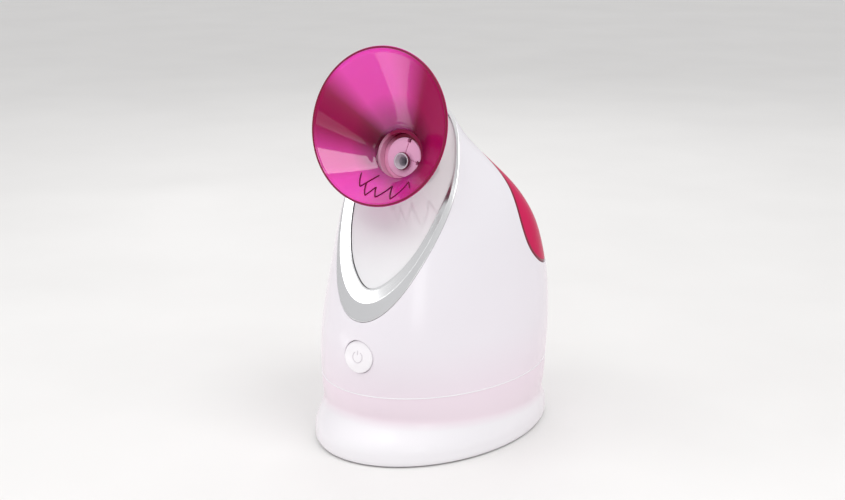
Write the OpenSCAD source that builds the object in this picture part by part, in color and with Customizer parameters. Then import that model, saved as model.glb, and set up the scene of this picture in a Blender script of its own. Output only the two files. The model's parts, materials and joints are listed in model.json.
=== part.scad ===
// Facial steamer: egg-shaped casing on a flared base, tilted nozzle with a wide funnel,
// and a water tank that lifts out under a hood at the back.
// Origin: centre of the base on the ground. +X right, +Y to the back, +Z up, millimetres.

/* [Casing] */
// Wall of the white casing
casing_wall = 2.4; // [1.8:0.1:3]
// Half width of the base at the ground
base_half_w = 68.4; // [66:0.1:70]
// Half length of the base at the ground
base_half_l = 94.2; // [92:0.1:96]
// Height of the seam between base and casing
seam_z = 43.2; // [40:0.1:46]
// Height of the base skirt above the ground
skirt_lift = 0.8; // [0.5:0.1:1.5]
// Thickness of the bottom plate
plate_h = 2.5; // [2:0.1:3]

/* [Front face] */
// Lean of the flat front face, back from vertical
face_lean = 32.8; // [30:0.1:36]
// Y of the lower tip of the front face
face_y = -85.4; // [-88:0.1:-84]
// Height of the lower tip of the front face
face_z = 90.8; // [88:0.1:94]
// Height of the ridge of the trim ring over the face
ridge_h = 2.2; // [1:0.1:3]
// Gap between the trim ring and the panel
panel_gap = 0.4; // [0.2:0.1:0.8]

/* [Nozzle and funnel] */
// Upward tilt of the nozzle axis
nozzle_tilt = 12; // [8:0.5:16]
// Y of the centre of the nozzle face
nozzle_y = -36.8; // [-39:0.1:-35]
// Height of the centre of the nozzle face
nozzle_z = 184.2; // [182:0.1:186]
// Radius of the fixed neck that the funnel fits on
neck_r = 14.9; // [14:0.1:16]
// Radial running clearance of the funnel collar on the neck
neck_fit = 0.05; // [0.02:0.01:0.1]
// Radius of the funnel rim
rim_r = 48.8; // [44:0.1:50]
// Distance of the rim in front of the nozzle face
rim_out = 31.2; // [28:0.1:34]
// Rise of the rim centre over the nozzle axis
rim_up = 17.2; // [14:0.1:20]
// Wall of the funnel
funnel_wall = 1.8; // [1.4:0.1:2.4]

/* [Button] */
// Y of the middle of the button face
button_y = -88.3; // [-89:0.1:-87]
// Height of the middle of the button face
button_z = 68.1; // [66:0.1:70]
// Radius of the button
button_r = 10.1; // [9:0.1:11]
// Downward slope of the button face's surroundings
button_tilt = 6.9; // [5:0.1:8]

/* [Water tank] */
// Width of the tank vessel
tank_w = 70; // [64:1:74]
// Depth of the tank vessel
tank_d = 48; // [44:1:50]
// Y of the tank's axis
tank_y = 46; // [45:0.5:47]
// Height of the underside of the tank vessel
tank_z = 60; // [59:0.5:61]
// Height of the top of the tank flange
tank_top_z = 120.5; // [120:0.5:121]
// Wall of the tank
tank_wall = 2; // [1.6:0.1:2.4]
// Clearance of the vessel in its well
well_gap = 2; // [1.5:0.1:2.5]

/* [Boiler] */
// Y of the boiler's axis
boiler_y = -26; // [-27:0.5:-25]
// Outer radius of the boiler cup
boiler_r = 24; // [22:0.5:24]
// Height of the underside of the boiler cup
boiler_z = 34; // [33:0.5:35]
// Y of the steam riser
riser_y = -10; // [-11:0.5:-9]

/* [Hidden] */

// Casing sections, ground to top: [height, front y, back y, y of the widest line, half width]
STATIONS = [
    [seam_z, -85.4, 90.5, 5, 67.8],
    [60, -87.6, 90.3, 9, 68.2],
    [80, -87.5, 87.4, 15, 67.4],
    [100, -83.7, 82.8, 20, 65.6],
    [120, -78.2, 75.2, 21, 63.2],
    [140, -72.2, 63.3, 18, 59.7],
    [160, -66.4, 47, 9, 52.3],
    [180, -61, 26, -4.5, 39.5],
    [195, -57, 11, -17, 30],
    [207, -53.7, 2.8, -22, 25.5],
    [217, -51, -4.6, -25, 21.2]];
// Heights of the casing's rings
CASING_RINGS = [seam_z, 50, 57, 64, 72, 80, 88, 96, 104, 112, 120, 128, 136, 144, 152, 160,
    168, 176, 183, 189, 195, 201, 207, 212, 217];
// Points round a casing section, and round the front face
SIDES = 56;
FACE_SIDES = 64;
// Half width and half length of the opening in the skirt's ledge, and of the bottom plate
ledge_r = [52, 78];
plate_r = [64, 89];
// The cove of the base: half width, front y, back y, height at y = 0, fall per mm of y
COVE = [66.4, -83.4, 87.8, 22.4, -0.078];
// Height where the base starts to pull in towards the cove
flare_z = 8;
// Half width of the trim ring's inner edge over its ellipse: [height along the face, width]
INNER_EDGE = [[20.5, 22.5], [35, 27.3], [53, 29.6], [78, 31.6], [97, 34.2], [124, 36.2], [147, 37.5]];
// Greatest half width of the face's outer edge
face_half = 39;
// Half width of the ring's ridge in the same way
RIDGE_EDGE = [[10.5, 32.5], [45, 34], [63, 35.2], [85, 37], [148.5, 38.4]];
// Side view of the hood's seam on the casing: y and z of its upper front corner
SEAM_TOP = [[3.4, 240], [3.4, 192], [4.1, 187.5], [5.6, 183], [7.4, 178.5], [8.8, 173], [9.5, 166]];
// Centre and half sizes of the seam's round lower corner
seam_c = [50, 150];
seam_r = [40.4, 43];
// Hole of the front panel for the neck, and the flange at the neck's back end, inside that hole
panel_hole_r = 18.4;
neck_flange_r = panel_hole_r - 0.2;
neck_flange_h = 1.3;
// Depth of the neck behind the collar's line, and places of its mouth, of the nozzle face and of the
// steam outlet's tip along the nozzle axis. The outlet sits a little below that axis
neck_back = 20.8;
mouth_out = -2.9;
face_out = -2.4;
tip_out = 0.6;
outlet_drop = 2.6;
// Throat of the funnel's bell: distance out, rise and radius
throat_out = 5.4;
throat_up = 4.6;
throat_r = 19.6;
// Turning points of the saw teeth in the funnel: [share of the way out along its wall, angle], and
// the pieces of each straight run, which bend round the wall
TEETH = [
    [[0.34, -132], [0.61, -114], [0.10, -118]],
    [[0.41, -116], [0.77, -101], [0.40, -102], [0.74, -91], [0.27, -83], [0.84, -74], [0.29, -57],
        [0.68, -54]]];
tooth_parts = 3;
// Outer radius of the funnel's collar, and the funnel socket's clearance over it
collar_r = 17.2;
socket_fit = 0.08;
// Depth of the trim ring behind the face, and of the casing's cut edge under it
face_thick = 3;
ring_seat = 0.4;
// Screws, their bosses and the places they stand on: casing, skirt and feet
screw_r = 1.5;
boss_r = 5.5;
SCREW_SPOTS = [[-49.5, -45], [49.5, -45], [-49.5, 52], [49.5, 52]];
PLATE_SPOTS = [[-20, -85.5], [20, -85.5], [-20, 85.5], [20, 85.5]];
FOOT_SPOTS = [[-35, -48], [35, -48], [-35, 48], [35, 48]];
// Water tank's corners and neck, its cap with the valve cage, and the sump under them
tank_r = 14;
neck_in_r = 10.5;
neck_out_r = 13;
cap_r = 16.5;
cap_floor = 3;
cap_z = 47.5;
cage_r = 10.3;
sump_r = 19;
sump_z = 40;
well_floor = 2.4;
well_wall = 2;
// Boiler cup, gasket, lid spout and steam pipe
boiler_h = 24;
gasket_h = 1.5;
spout_h = 8;
riser_r = 8;
bore_r = 6.4;
bend_h = 16;
// Straight length of the ioniser needle, whose tip ends behind the outlet tube
needle_l = 12.6;
// Underside of the bottom plate, and height of the cord bush
plate_z = 4;
gland_z = 18;
// Centres of the control board, and of its posts round that
board_c = [0, 34];
POST_SPOTS = [[-32, -21], [32, -21], [-32, 21], [32, 21]];
board_z = 12;

white = [0.96, 0.95, 0.97];
crimson = [0.78, 0.05, 0.3, 0.8];
magenta = [0.85, 0.1, 0.5, 0.55];
pink = [0.95, 0.75, 0.83];
dark = [0.15, 0.15, 0.16];
silver = [0.75, 0.75, 0.77];
green = [0.1, 0.4, 0.22];

// ---- curves ----

// Slope of column c at row i of a table whose first column rises
function slope(t, c, i) =
    let(a = max(i - 1, 0), b = min(i + 1, len(t) - 1))
    (t[b][c] - t[a][c]) / (t[b][0] - t[a][0]);

// Smooth value of column c of a table at x
function smooth(t, c, x, i = 0) =
    (i < len(t) - 2 && x > t[i + 1][0]) ? smooth(t, c, x, i + 1) :
    let(h = t[i + 1][0] - t[i][0], u = min(max((x - t[i][0]) / h, 0), 1))
    (2 * u * u * u - 3 * u * u + 1) * t[i][c]
    + (u * u * u - 2 * u * u + u) * h * slope(t, c, i)
    + (3 * u * u - 2 * u * u * u) * t[i + 1][c]
    + (u * u * u - u * u) * h * slope(t, c, i + 1);

// Point of an egg section at angle a: half width w, front f, back b, widest line m
function egg(a, w, f, b, m, z) = [w * cos(a), m + (sin(a) < 0 ? m - f : b - m) * sin(a), z];

// One ring of the casing at height z, inset from the outer surface
function casing_ring(z, inset) = [for (i = [0:SIDES - 1])
    egg(360 * i / SIDES, smooth(STATIONS, 4, z) - inset, smooth(STATIONS, 1, z) + inset,
        smooth(STATIONS, 2, z) - inset, smooth(STATIONS, 3, z), z)];

// Half width of the casing at y and z
function casing_half(y, z) =
    let(m = smooth(STATIONS, 3, z), f = smooth(STATIONS, 1, z), b = smooth(STATIONS, 2, z))
    let(u = y < m ? (y - m) / (m - f) : (y - m) / (b - m))
    smooth(STATIONS, 4, z) * sqrt(max(1 - u * u, 0));

// A closed skin through rings of equal length, from the lowest to the highest
module skin(rings) {
    n = len(rings[0]);
    last = (len(rings) - 1) * n;
    polyhedron(
        points = [for (r = rings) each r],
        faces = concat(
            [[for (i = [0:n - 1]) i]],
            [for (k = [0:len(rings) - 2], i = [0:n - 1])
                each [[k * n + i, (k + 1) * n + i, (k + 1) * n + (i + 1) % n],
                      [k * n + i, (k + 1) * n + (i + 1) % n, k * n + (i + 1) % n]]],
            [[for (i = [n - 1:-1:0]) last + i]]));
}

// Curved skins cut or joined with each other stay one mesh
module as_mesh() {
    resize([0, 0, 0]) children();
}

// The casing's outer form, inset all round and carried straight down to a height below the seam
module casing_solid(inset, low = seam_z) {
    foot = [for (p = casing_ring(seam_z, inset)) [p[0], p[1], low]];
    skin(concat(low < seam_z ? [foot] : [], [for (z = CASING_RINGS) casing_ring(z, inset)]));
}

// ---- frames of the slanted features ----

module on_face() {
    translate([0, face_y, face_z]) rotate([90 - face_lean, 0, 0]) children();
}

module on_nozzle() {
    translate([0, nozzle_y, nozzle_z]) rotate([90 - nozzle_tilt, 0, 0]) children();
}

module on_button() {
    translate([0, button_y, button_z]) rotate([90 - button_tilt, 0, 0]) children();
}

module tube(r_out, r_in, h) {
    difference() {
        cylinder(r = r_out, h = h, $fn = 64);
        translate([0, 0, -1]) cylinder(r = r_in, h = h + 2, $fn = 64);
    }
}

module rounded_box(w, d, h, r) {
    linear_extrude(h) {
        square([w - 2 * r, d], center = true);
        square([w, d - 2 * r], center = true);
        for (x = [-1, 1], y = [-1, 1])
            translate([x * (w / 2 - r), y * (d / 2 - r)]) circle(r, $fn = 48);
    }
}

// ---- hood seam ----

// Side view of everything above and behind the seam
function seam_outline() = concat(
    SEAM_TOP,
    [for (i = [0:10]) let(t = 90 * i / 10)
        [seam_c[0] - seam_r[0] * pow(max(cos(t), 0), 0.85),
         seam_c[1] - seam_r[1] * pow(max(sin(t), 0), 0.85)]],
    [[100, 104], [130, 104], [130, 240]]);

module behind_seam(gap) {
    rotate([90, 0, 90])
        translate([0, 0, -90])
            linear_extrude(180) offset(delta = -gap) polygon(seam_outline());
}

// ---- front face outlines, in the face's own plane: x across, y up the slope ----

// Y and z in the casing of a point at height s up the face and d out of it
function face_yz(s, d) = [face_y + s * sin(face_lean) - d * cos(face_lean),
                          face_z + s * cos(face_lean) + d * sin(face_lean)];

// Height up the face where the middle of the casing crosses it; side is 1 below, 2 above
function face_end(d, side, a, b, n = 24) =
    let(m = (a + b) / 2, p = face_yz(m, d), out = side == 1
        ? p[0] < smooth(STATIONS, 1, p[1]) : p[0] > smooth(STATIONS, 2, p[1]))
    n == 0 ? m :
    (side == 1) == out ? face_end(d, side, m, b, n - 1) : face_end(d, side, a, m, n - 1);

// Outline where the casing's outer surface meets the plane at distance d from the face
function outer_edge(d) =
    let(lo = face_end(d, 1, -25, 40), hi = face_end(d, 2, 110, 151))
    [for (i = [0:FACE_SIDES - 1])
        let(a = 360 * i / FACE_SIDES, s = (lo + hi) / 2 - (hi - lo) / 2 * cos(a), p = face_yz(s, d))
        [(sin(a) < 0 ? -1 : 1) * casing_half(p[0], p[1]), s]];

// Oval whose half width follows a table of widths, drawn in by an inset
function oval_edge(table, inset = 0) =
    let(lo = table[0][0] + inset, hi = table[len(table) - 1][0] - inset)
    [for (i = [0:FACE_SIDES - 1])
        let(a = 360 * i / FACE_SIDES, s = (lo + hi) / 2 - (hi - lo) / 2 * cos(a))
        [(smooth(table, 1, s) - inset) * sin(a), s]];

function at_height(edge, d) = [for (p = edge) [p[0], p[1], d]];

// A closed band through four or more loops, each loop joined to the next and the last to the first
module band(loops) {
    n = len(loops[0]);
    m = len(loops);
    polyhedron(
        points = [for (l = loops) each l],
        faces = [for (k = [0:m - 1], i = [0:n - 1]) let(j = (i + 1) % n, q = (k + 1) % m)
            each [[k * n + i, q * n + i, q * n + j], [k * n + i, q * n + j, k * n + j]]]);
}

// ---- funnel, in the nozzle's frame: x across, y up, z out ----

function bell(u) = [throat_out + (rim_out - throat_out) * u,
                    throat_up + (rim_up - throat_up) * u,
                    throat_r + (rim_r - throat_r) * pow(u, 0.93)];

function funnel_ring(out, up, r) = [for (i = [0:SIDES - 1])
    [r * cos(360 * i / SIDES), up + r * sin(360 * i / SIDES), out]];

// Inner rings of the funnel, from its socket on the collar out to the rim, grown by a wall
function funnel_rings(grow) = concat(
    [funnel_ring(0.4, 0, collar_r + socket_fit + grow),
     funnel_ring(2, 0, collar_r + socket_fit + grow),
     funnel_ring(4, 2.4, collar_r - 0.3 + grow)],
    [for (u = [0, 0.12, 0.26, 0.42, 0.6, 0.8, 1]) let(b = bell(u))
        funnel_ring(b[0], b[1], b[2] - funnel_wall + grow)]);

// Point on the funnel's inner wall at bell position u and angle a
function wall_point(u, a, lift) = let(b = bell(u), r = b[2] - funnel_wall - lift)
    [r * cos(a), b[1] + r * sin(a), b[0]];

// ======== casing ========

module upper_housing() {
    color(white) as_mesh() difference() {
        union() {
            difference() {
                casing_solid(0);
                casing_solid(casing_wall, seam_z - 1);
            }
            for (p = SCREW_SPOTS)
                translate([p[0], p[1], seam_z]) cylinder(r = boss_r, h = 16, $fn = 32);
        }
        on_face() translate([-100, -60, -ring_seat]) cube([200, 260, 100]);
        on_face() translate([0, 0, -face_thick - 0.1])
            linear_extrude(face_thick + 1) polygon(oval_edge(INNER_EDGE, -1.1));
        behind_seam(0);
        for (p = SCREW_SPOTS)
            translate([p[0], p[1], seam_z - 1]) cylinder(r = screw_r - 0.1, h = 14, $fn = 24);
        on_button() translate([0, 0, -10]) cylinder(r = button_r + 0.35, h = 20, $fn = 64);
    }
}

// One upright ring of the base
function base_ring(z, w, l, inset) = [for (i = [0:SIDES - 1])
    egg(360 * i / SIDES, w - inset, -l + inset, l - inset, 0, z)];

// Ring of the flare, from the base (u = 0) up to the cove (u = 1)
function cove_ring(u, inset) = [for (i = [0:SIDES - 1])
    let(e = u * u * (3 - 2 * u), a = 360 * i / SIDES,
        c = egg(a, COVE[0] - inset, COVE[1] + inset, COVE[2] - inset, 2, 0),
        g = egg(a, base_half_w - inset, -base_half_l + inset, base_half_l - inset, 0, 0))
    [g[0] + (c[0] - g[0]) * e, g[1] + (c[1] - g[1]) * e,
     flare_z + (COVE[3] + COVE[4] * c[1] - flare_z) * u]];

// Ring of the band over the cove (u = 0), up to the seam (u = 1)
function band_ring(u, inset) = let(t = casing_ring(seam_z, inset)) [for (i = [0:SIDES - 1])
    let(e = 1 - (1 - u) * (1 - u),
        c = egg(360 * i / SIDES, COVE[0] - inset, COVE[1] + inset, COVE[2] - inset, 2, 0),
        z = COVE[3] + COVE[4] * c[1])
    [c[0] + (t[i][0] - c[0]) * e, c[1] + (t[i][1] - c[1]) * e, z + (seam_z - 0.3 - z) * u]];

function base_rings(inset) = concat(
    [base_ring(skirt_lift, base_half_w - 1.6, base_half_l - 1.6, inset),
     base_ring(2, base_half_w - 0.4, base_half_l - 0.4, inset),
     base_ring(4, base_half_w, base_half_l, inset),
     base_ring(flare_z, base_half_w, base_half_l, inset)],
    [for (u = [0.2, 0.4, 0.6, 0.8, 1]) cove_ring(u, inset)],
    [for (u = [0.33, 0.66, 1]) band_ring(u, inset)]);

module base_skirt() {
    color(white) difference() {
        as_mesh() difference() {
            skin(base_rings(0));
            difference() {
                translate([0, 0, -0.05]) scale([1, 1, 1.01]) skin(base_rings(casing_wall));
                translate([0, 0, plate_z + plate_h + 0.1]) linear_extrude(3) difference() {
                    square(300, center = true);
                    scale([ledge_r[0] / ledge_r[1], 1]) circle(ledge_r[1], $fn = 96);
                }
            }
        }
        for (p = SCREW_SPOTS)
            translate([p[0], p[1], 0]) cylinder(r = screw_r + 0.2, h = 12, $fn = 32);
        for (p = PLATE_SPOTS)
            translate([p[0], p[1], 0]) cylinder(r = screw_r - 0.1, h = 12, $fn = 32);
        translate([0, base_half_l - 12, gland_z]) rotate([-90, 0, 0])
            cylinder(r = 6, h = 20, $fn = 48);
    }
}

module bottom_plate() {
    color(white) translate([0, 0, plate_z]) difference() {
        linear_extrude(plate_h) scale([plate_r[0] / plate_r[1], 1]) circle(plate_r[1], $fn = 96);
        for (p = SCREW_SPOTS) translate([p[0], p[1], -1]) {
            cylinder(r = screw_r + 0.2, h = 9, $fn = 32);
            cylinder(r = 3.2, h = 2, $fn = 32);
        }
        for (p = PLATE_SPOTS) translate([p[0], p[1], -1]) cylinder(r = screw_r + 0.2, h = 9, $fn = 32);
        for (p = FOOT_SPOTS) translate([p[0], p[1], -1]) cylinder(r = 3, h = 9, $fn = 32);
        for (i = [-4:4]) translate([i * 6, 30, -1]) linear_extrude(9) square([2.4, 26], center = true);
    }
}

// Rubber feet with a stem pressed up through the plate
module rubber_feet() {
    color(dark) for (p = FOOT_SPOTS) translate([p[0], p[1], 0]) {
        rotate_extrude($fn = 48) polygon([[0, 0], [6.6, 0], [7.5, 0.9], [7.5, plate_z], [0, plate_z]]);
        cylinder(r = 3, h = plate_z + plate_h, $fn = 32);
        translate([0, 0, plate_z + plate_h]) cylinder(r = 3.8, h = 1.2, $fn = 32);
    }
}

module screw(r, head_r, head_h, length) {
    rotate_extrude($fn = 32)
        polygon([[1, 0], [head_r, 0.4], [head_r, head_h], [r, head_h], [r, length - r],
                 [0, length], [0, 1.2], [1, 1.2]]);
}

module base_screws() {
    color(silver) for (p = PLATE_SPOTS)
        translate([p[0], p[1], plate_z - 1.8]) screw(screw_r - 0.15, 2.8, 1.8, 8.5);
}

module housing_screws() {
    color(silver) for (p = SCREW_SPOTS)
        translate([p[0], p[1], plate_z - 0.8]) screw(screw_r - 0.2, 2.9, 1.8, 50);
}

// ======== front face ========

// A loop of the outer edge moved in by a distance, in the face's plane
function inset_loop(edge, m) =
    let(lo = edge[0][1], hi = edge[FACE_SIDES / 2][1], mid = (lo + hi) / 2)
    [for (p = edge) [p[0] * (1 - m / face_half), mid + (p[1] - mid) * (1 - m / (hi - mid))]];

// Two-facet ring: its flange lies on the casing's edge, its inner wall reaches back round the panel
module trim_ring() {
    outer = outer_edge(0);
    inner = oval_edge(INNER_EDGE);
    rim = oval_edge(INNER_EDGE, -1);
    color(silver) on_face() band([
        at_height(inset_loop(outer, 0.1), -ring_seat + 0.1),
        at_height(inset_loop(outer, 0.35), 0.25),
        at_height(oval_edge(RIDGE_EDGE), ridge_h),
        at_height(inner, 0.2),
        at_height(inner, -face_thick),
        at_height(rim, -face_thick),
        at_height(rim, -ring_seat + 0.1)]);
}

// A ring of the panel, shrunk to k of its outline, crowned over its edge
function panel_ring(k, d) = [for (p = oval_edge(INNER_EDGE, panel_gap))
    [p[0] * k, 84 + (p[1] - 84) * k, d + 1.6 * (1 - k * k)]];

module front_panel() {
    color(white) difference() {
        on_face() skin(concat(
            [for (k = [0.05, 0.3, 0.6, 0.85, 1]) panel_ring(k, -2.8)],
            [for (k = [1, 0.97, 0.85, 0.6, 0.3, 0.05]) panel_ring(k, k == 1 ? -1.1 : -0.8)]));
        on_nozzle() translate([0, 0, -30]) cylinder(r = panel_hole_r, h = 60, $fn = 96);
    }
}

// ======== nozzle ========

module nozzle_neck() {
    color(pink) on_nozzle() difference() {
        union() {
            translate([0, 0, -neck_back]) cylinder(r = neck_flange_r, h = neck_flange_h, $fn = 96);
            translate([0, 0, -neck_back]) cylinder(r = neck_r, h = neck_back + mouth_out, $fn = 96);
        }
        translate([0, 0, -19]) cylinder(r = 12.5, h = 30, $fn = 64);
        translate([0, 0, -30]) cylinder(r = riser_r + 0.02, h = 30, $fn = 64);
        translate([0, 0, -6]) rotate_extrude($fn = 96)
            translate([neck_r - 1.2, 0]) square([3, 2.2]);
    }
}

module neck_o_ring() {
    color(dark) on_nozzle() translate([0, 0, -4.9])
        rotate_extrude($fn = 96) translate([neck_r - 0.6, 0]) circle(0.6, $fn = 24);
}

// Face of the nozzle, with drain notches at its edge and radial slots
module nozzle_face() {
    color(pink) on_nozzle() translate([0, 0, face_out - 2]) difference() {
        cylinder(r = 12.4, h = 2, $fn = 64);
        translate([0, -outlet_drop, -1]) cylinder(r = 4.6, h = 4, $fn = 64);
        for (a = [75, -15]) rotate(a) translate([11.2, 0, -1])
            linear_extrude(4) square([3.6, 4], center = true);
    }
}

module outlet_tube() {
    color(silver) on_nozzle() difference() {
        union() {
            translate([0, -outlet_drop, -18.9]) cylinder(r = 4.58, h = 17.5 + tip_out, $fn = 64);
            translate([0, 0, -18.9]) cylinder(r = 12.45, h = 1.5, $fn = 64);
            translate([0, -outlet_drop, tip_out - 1.4]) cylinder(r1 = 5.75, r2 = 5.2, h = 1.4, $fn = 64);
        }
        translate([0, -outlet_drop, -21]) cylinder(r = 3, h = 30, $fn = 48);
        translate([0, -outlet_drop, tip_out - 2.6]) cylinder(r1 = 3, r2 = 4.4, h = 2.7, $fn = 48);
    }
}

// Distance back along the nozzle axis to the riser
elbow_back = (riser_y - nozzle_y) / cos(nozzle_tilt);
elbow_z = nozzle_z - elbow_back * sin(nozzle_tilt);

// Upright pipe, ball and pipe along the nozzle axis; extra lengthens both pipes
module elbow_shape(r, extra) {
    translate([0, riser_y, elbow_z]) sphere(r, $fn = 32);
    translate([0, riser_y, elbow_z - bend_h - extra]) cylinder(r = r, h = bend_h + extra, $fn = 32);
    on_nozzle() translate([0, 0, -elbow_back])
        cylinder(r = r, h = elbow_back - neck_back + neck_flange_h + extra, $fn = 32);
}

module steam_elbow() {
    color(white) as_mesh() difference() {
        elbow_shape(riser_r, 0);
        elbow_shape(bore_r, 1);
        on_nozzle() translate([0, 0, -elbow_back - 12]) cylinder(r = 2.6, h = 14, $fn = 32);
    }
}

module steam_riser() {
    low = boiler_z + boiler_h + gasket_h + spout_h;
    color(white) translate([0, riser_y, low]) tube(riser_r, bore_r, elbow_z - bend_h - low);
}

module ioniser_needle() {
    color(silver) on_nozzle() translate([0, 0, -elbow_back - 8]) {
        cylinder(r = 2.5, h = 6, $fn = 32);
        cylinder(r = 0.8, h = needle_l, $fn = 24);
        translate([0, 0, needle_l]) cylinder(r1 = 0.8, r2 = 0.1, h = 3, $fn = 24);
    }
}

module ioniser_module() {
    color(dark) translate([riser_r + 12.2, riser_y, 118]) rounded_box(24, 18, 34, 2);
}

// ======== boiler ========

module boiler_cup() {
    color(silver) translate([0, boiler_y, boiler_z]) difference() {
        union() {
            cylinder(r = boiler_r, h = boiler_h, $fn = 96);
            translate([0, 0, boiler_h - 2]) cylinder(r = boiler_r + 5, h = 2, $fn = 96);
        }
        translate([0, 0, 3]) cylinder(r = boiler_r - 2, h = boiler_h, $fn = 96);
        for (a = [0:90:270]) rotate(a + 45) translate([boiler_r + 2.5, 0, boiler_h - 3])
            cylinder(r = 1.3, h = 4, $fn = 32);
        translate([0, boiler_r - 4, 11]) rotate([-90, 0, 0]) cylinder(r = 3.6, h = 8, $fn = 48);
    }
}

module boiler_gasket() {
    color(dark) translate([0, boiler_y, boiler_z + boiler_h]) tube(boiler_r + 0.5, boiler_r - 2, gasket_h);
}

module boiler_lid() {
    color(white) translate([0, boiler_y, boiler_z + boiler_h + gasket_h]) difference() {
        union() {
            cylinder(r = boiler_r + 5, h = 2.4, $fn = 96);
            translate([0, riser_y - boiler_y, 0]) cylinder(r = riser_r, h = spout_h, $fn = 64);
        }
        translate([0, riser_y - boiler_y, -1]) cylinder(r = bore_r, h = 10, $fn = 64);
        for (a = [0:90:270]) rotate(a + 45) translate([boiler_r + 2.5, 0, -1])
            cylinder(r = 1.6, h = 6, $fn = 32);
    }
}

module boiler_screws() {
    color(silver) translate([0, boiler_y, boiler_z + boiler_h + gasket_h + 4.2])
        for (a = [0:90:270]) rotate(a + 45) translate([boiler_r + 2.5, 0, 0])
            rotate([180, 0, 0]) screw(1.25, 2.4, 1.8, 9);
}

module heater_disc() {
    color([0.5, 0.5, 0.52]) translate([0, boiler_y, boiler_z - 4.5]) difference() {
        cylinder(r = 19, h = 4.5, $fn = 64);
        translate([0, 0, -1]) cylinder(r = 3, h = 3, $fn = 32);
    }
}

module boiler_stand() {
    color(dark) translate([0, boiler_y, 0]) {
        translate([0, 0, boiler_z - 3]) tube(boiler_r + 3, 20.5, 3);
        for (a = [30, 150, 270]) rotate(a) translate([23.6, 0, plate_z + plate_h])
            cylinder(r = 3, h = boiler_z - plate_z - plate_h - 2, $fn = 32);
    }
}

module thermostat() {
    color(silver) translate([8, boiler_y, boiler_z - 14.5]) {
        cylinder(r = 8, h = 4, $fn = 48);
        cylinder(r = 6, h = 10, $fn = 48);
        for (x = [-1, 1]) translate([x * 10, 0, 1]) linear_extrude(1) square([8, 5], center = true);
    }
}

module thermal_fuse() {
    color(silver) translate([-11, boiler_y - 8, boiler_z - 6.6]) rotate([-90, 0, 0]) {
        cylinder(r = 2.1, h = 12, $fn = 32);
        translate([0, 0, -5]) cylinder(r = 0.6, h = 22, $fn = 16);
    }
}

module feed_hose() {
    color([0.9, 0.9, 0.9]) translate([0, boiler_y + boiler_r - 2.4, boiler_z + 11]) rotate([-90, 0, 0])
        tube(3.5, 2.2, tank_y - sump_r - boiler_y - boiler_r + 2.8);
}

// ======== tank well ========

module tank_well() {
    color(white) difference() {
        as_mesh() intersection() {
            casing_solid(casing_wall + 0.1, 36);
            difference() {
                union() {
                    difference() {
                        behind_seam(-2.4);
                        behind_seam(-0.4);
                    }
                    difference() {
                        translate([0, tank_y, tank_z - 3]) rounded_box(tank_w + 2 * (well_gap + well_wall),
                            tank_d + 2 * (well_gap + well_wall), 100, tank_r + well_gap + well_wall);
                        behind_seam(-0.4);
                    }
                    translate([0, tank_y, sump_z])
                        cylinder(r = sump_r + 2, h = tank_z - 2 - sump_z, $fn = 64);
                }
                translate([0, tank_y, tank_z - 1]) rounded_box(tank_w + 2 * well_gap,
                    tank_d + 2 * well_gap, 100, tank_r + well_gap);
                translate([0, tank_y, sump_z + well_floor]) cylinder(r = sump_r, h = 50, $fn = 64);
            }
        }
        translate([0, tank_y - sump_r - 4, boiler_z + 11]) rotate([-90, 0, 0])
            cylinder(r = 3.55, h = 6, $fn = 48);
    }
}

module well_seal() {
    color(dark) translate([0, tank_y, tank_z - 1]) tube(sump_r + 3, sump_r + 0.4, 0.7);
}

// Fixed pin that lifts the valve when the tank is seated
module valve_pin() {
    color(white) translate([0, tank_y, sump_z + well_floor]) {
        cylinder(r = 4, h = 1, $fn = 32);
        cylinder(r = 1.6, h = cap_z - 0.3 - sump_z - well_floor, $fn = 32);
    }
}

// ======== button ========

module button_guide() {
    color(white) on_button() translate([0, 0, -12]) difference() {
        union() {
            cylinder(r = button_r + 2, h = 6.5, $fn = 64);
            cylinder(r = button_r + 5, h = 1.6, $fn = 64);
        }
        translate([0, 0, -1]) cylinder(r = button_r + 0.05, h = 20, $fn = 96);
    }
}

module power_button() {
    color(white) on_button() {
        rotate_extrude($fn = 96) polygon(concat(
            [[0, -8], [button_r, -8], [button_r, -1.6]],
            [for (a = [0:15:90]) [button_r - 0.8 + 0.8 * cos(a), -1.6 + 0.8 * sin(a)]],
            [for (k = [0.8:-0.2:0]) [(button_r - 0.8) * k, -0.8 + 0.9 * (1 - k * k)]]));
        translate([0, 0, -12]) cylinder(r = 2.5, h = 5, $fn = 32);
    }
}

module button_board() {
    color(green) on_button() translate([0, 0, -20]) difference() {
        linear_extrude(1.6) square([44, 30], center = true);
        for (x = [-1, 1]) translate([x * 18, 0, -1]) cylinder(r = 1.6, h = 4, $fn = 32);
    }
}

module tact_switch() {
    color(dark) on_button() translate([0, 0, -18.4]) difference() {
        linear_extrude(4.2) square([6, 6], center = true);
        translate([0, 0, 1.4]) cylinder(r = 1.75, h = 5, $fn = 32);
    }
}

module switch_plunger() {
    color([0.9, 0.9, 0.9]) on_button() translate([0, 0, -15.6]) cylinder(r = 1.7, h = 3.6, $fn = 32);
}

module indicator_led() {
    color([0.8, 0.9, 1]) on_button() translate([7, 0, -18.4]) {
        cylinder(r = 1.5, h = 2.6, $fn = 32);
        translate([0, 0, 2.6]) sphere(1.5, $fn = 32);
    }
}

// ======== electrics in the base ========

module control_board() {
    color(green) translate([board_c[0], board_c[1], board_z]) difference() {
        linear_extrude(1.6) square([72, 50], center = true);
        for (p = POST_SPOTS) translate([p[0], p[1], -1]) cylinder(r = 1.6, h = 4, $fn = 32);
    }
}

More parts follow.
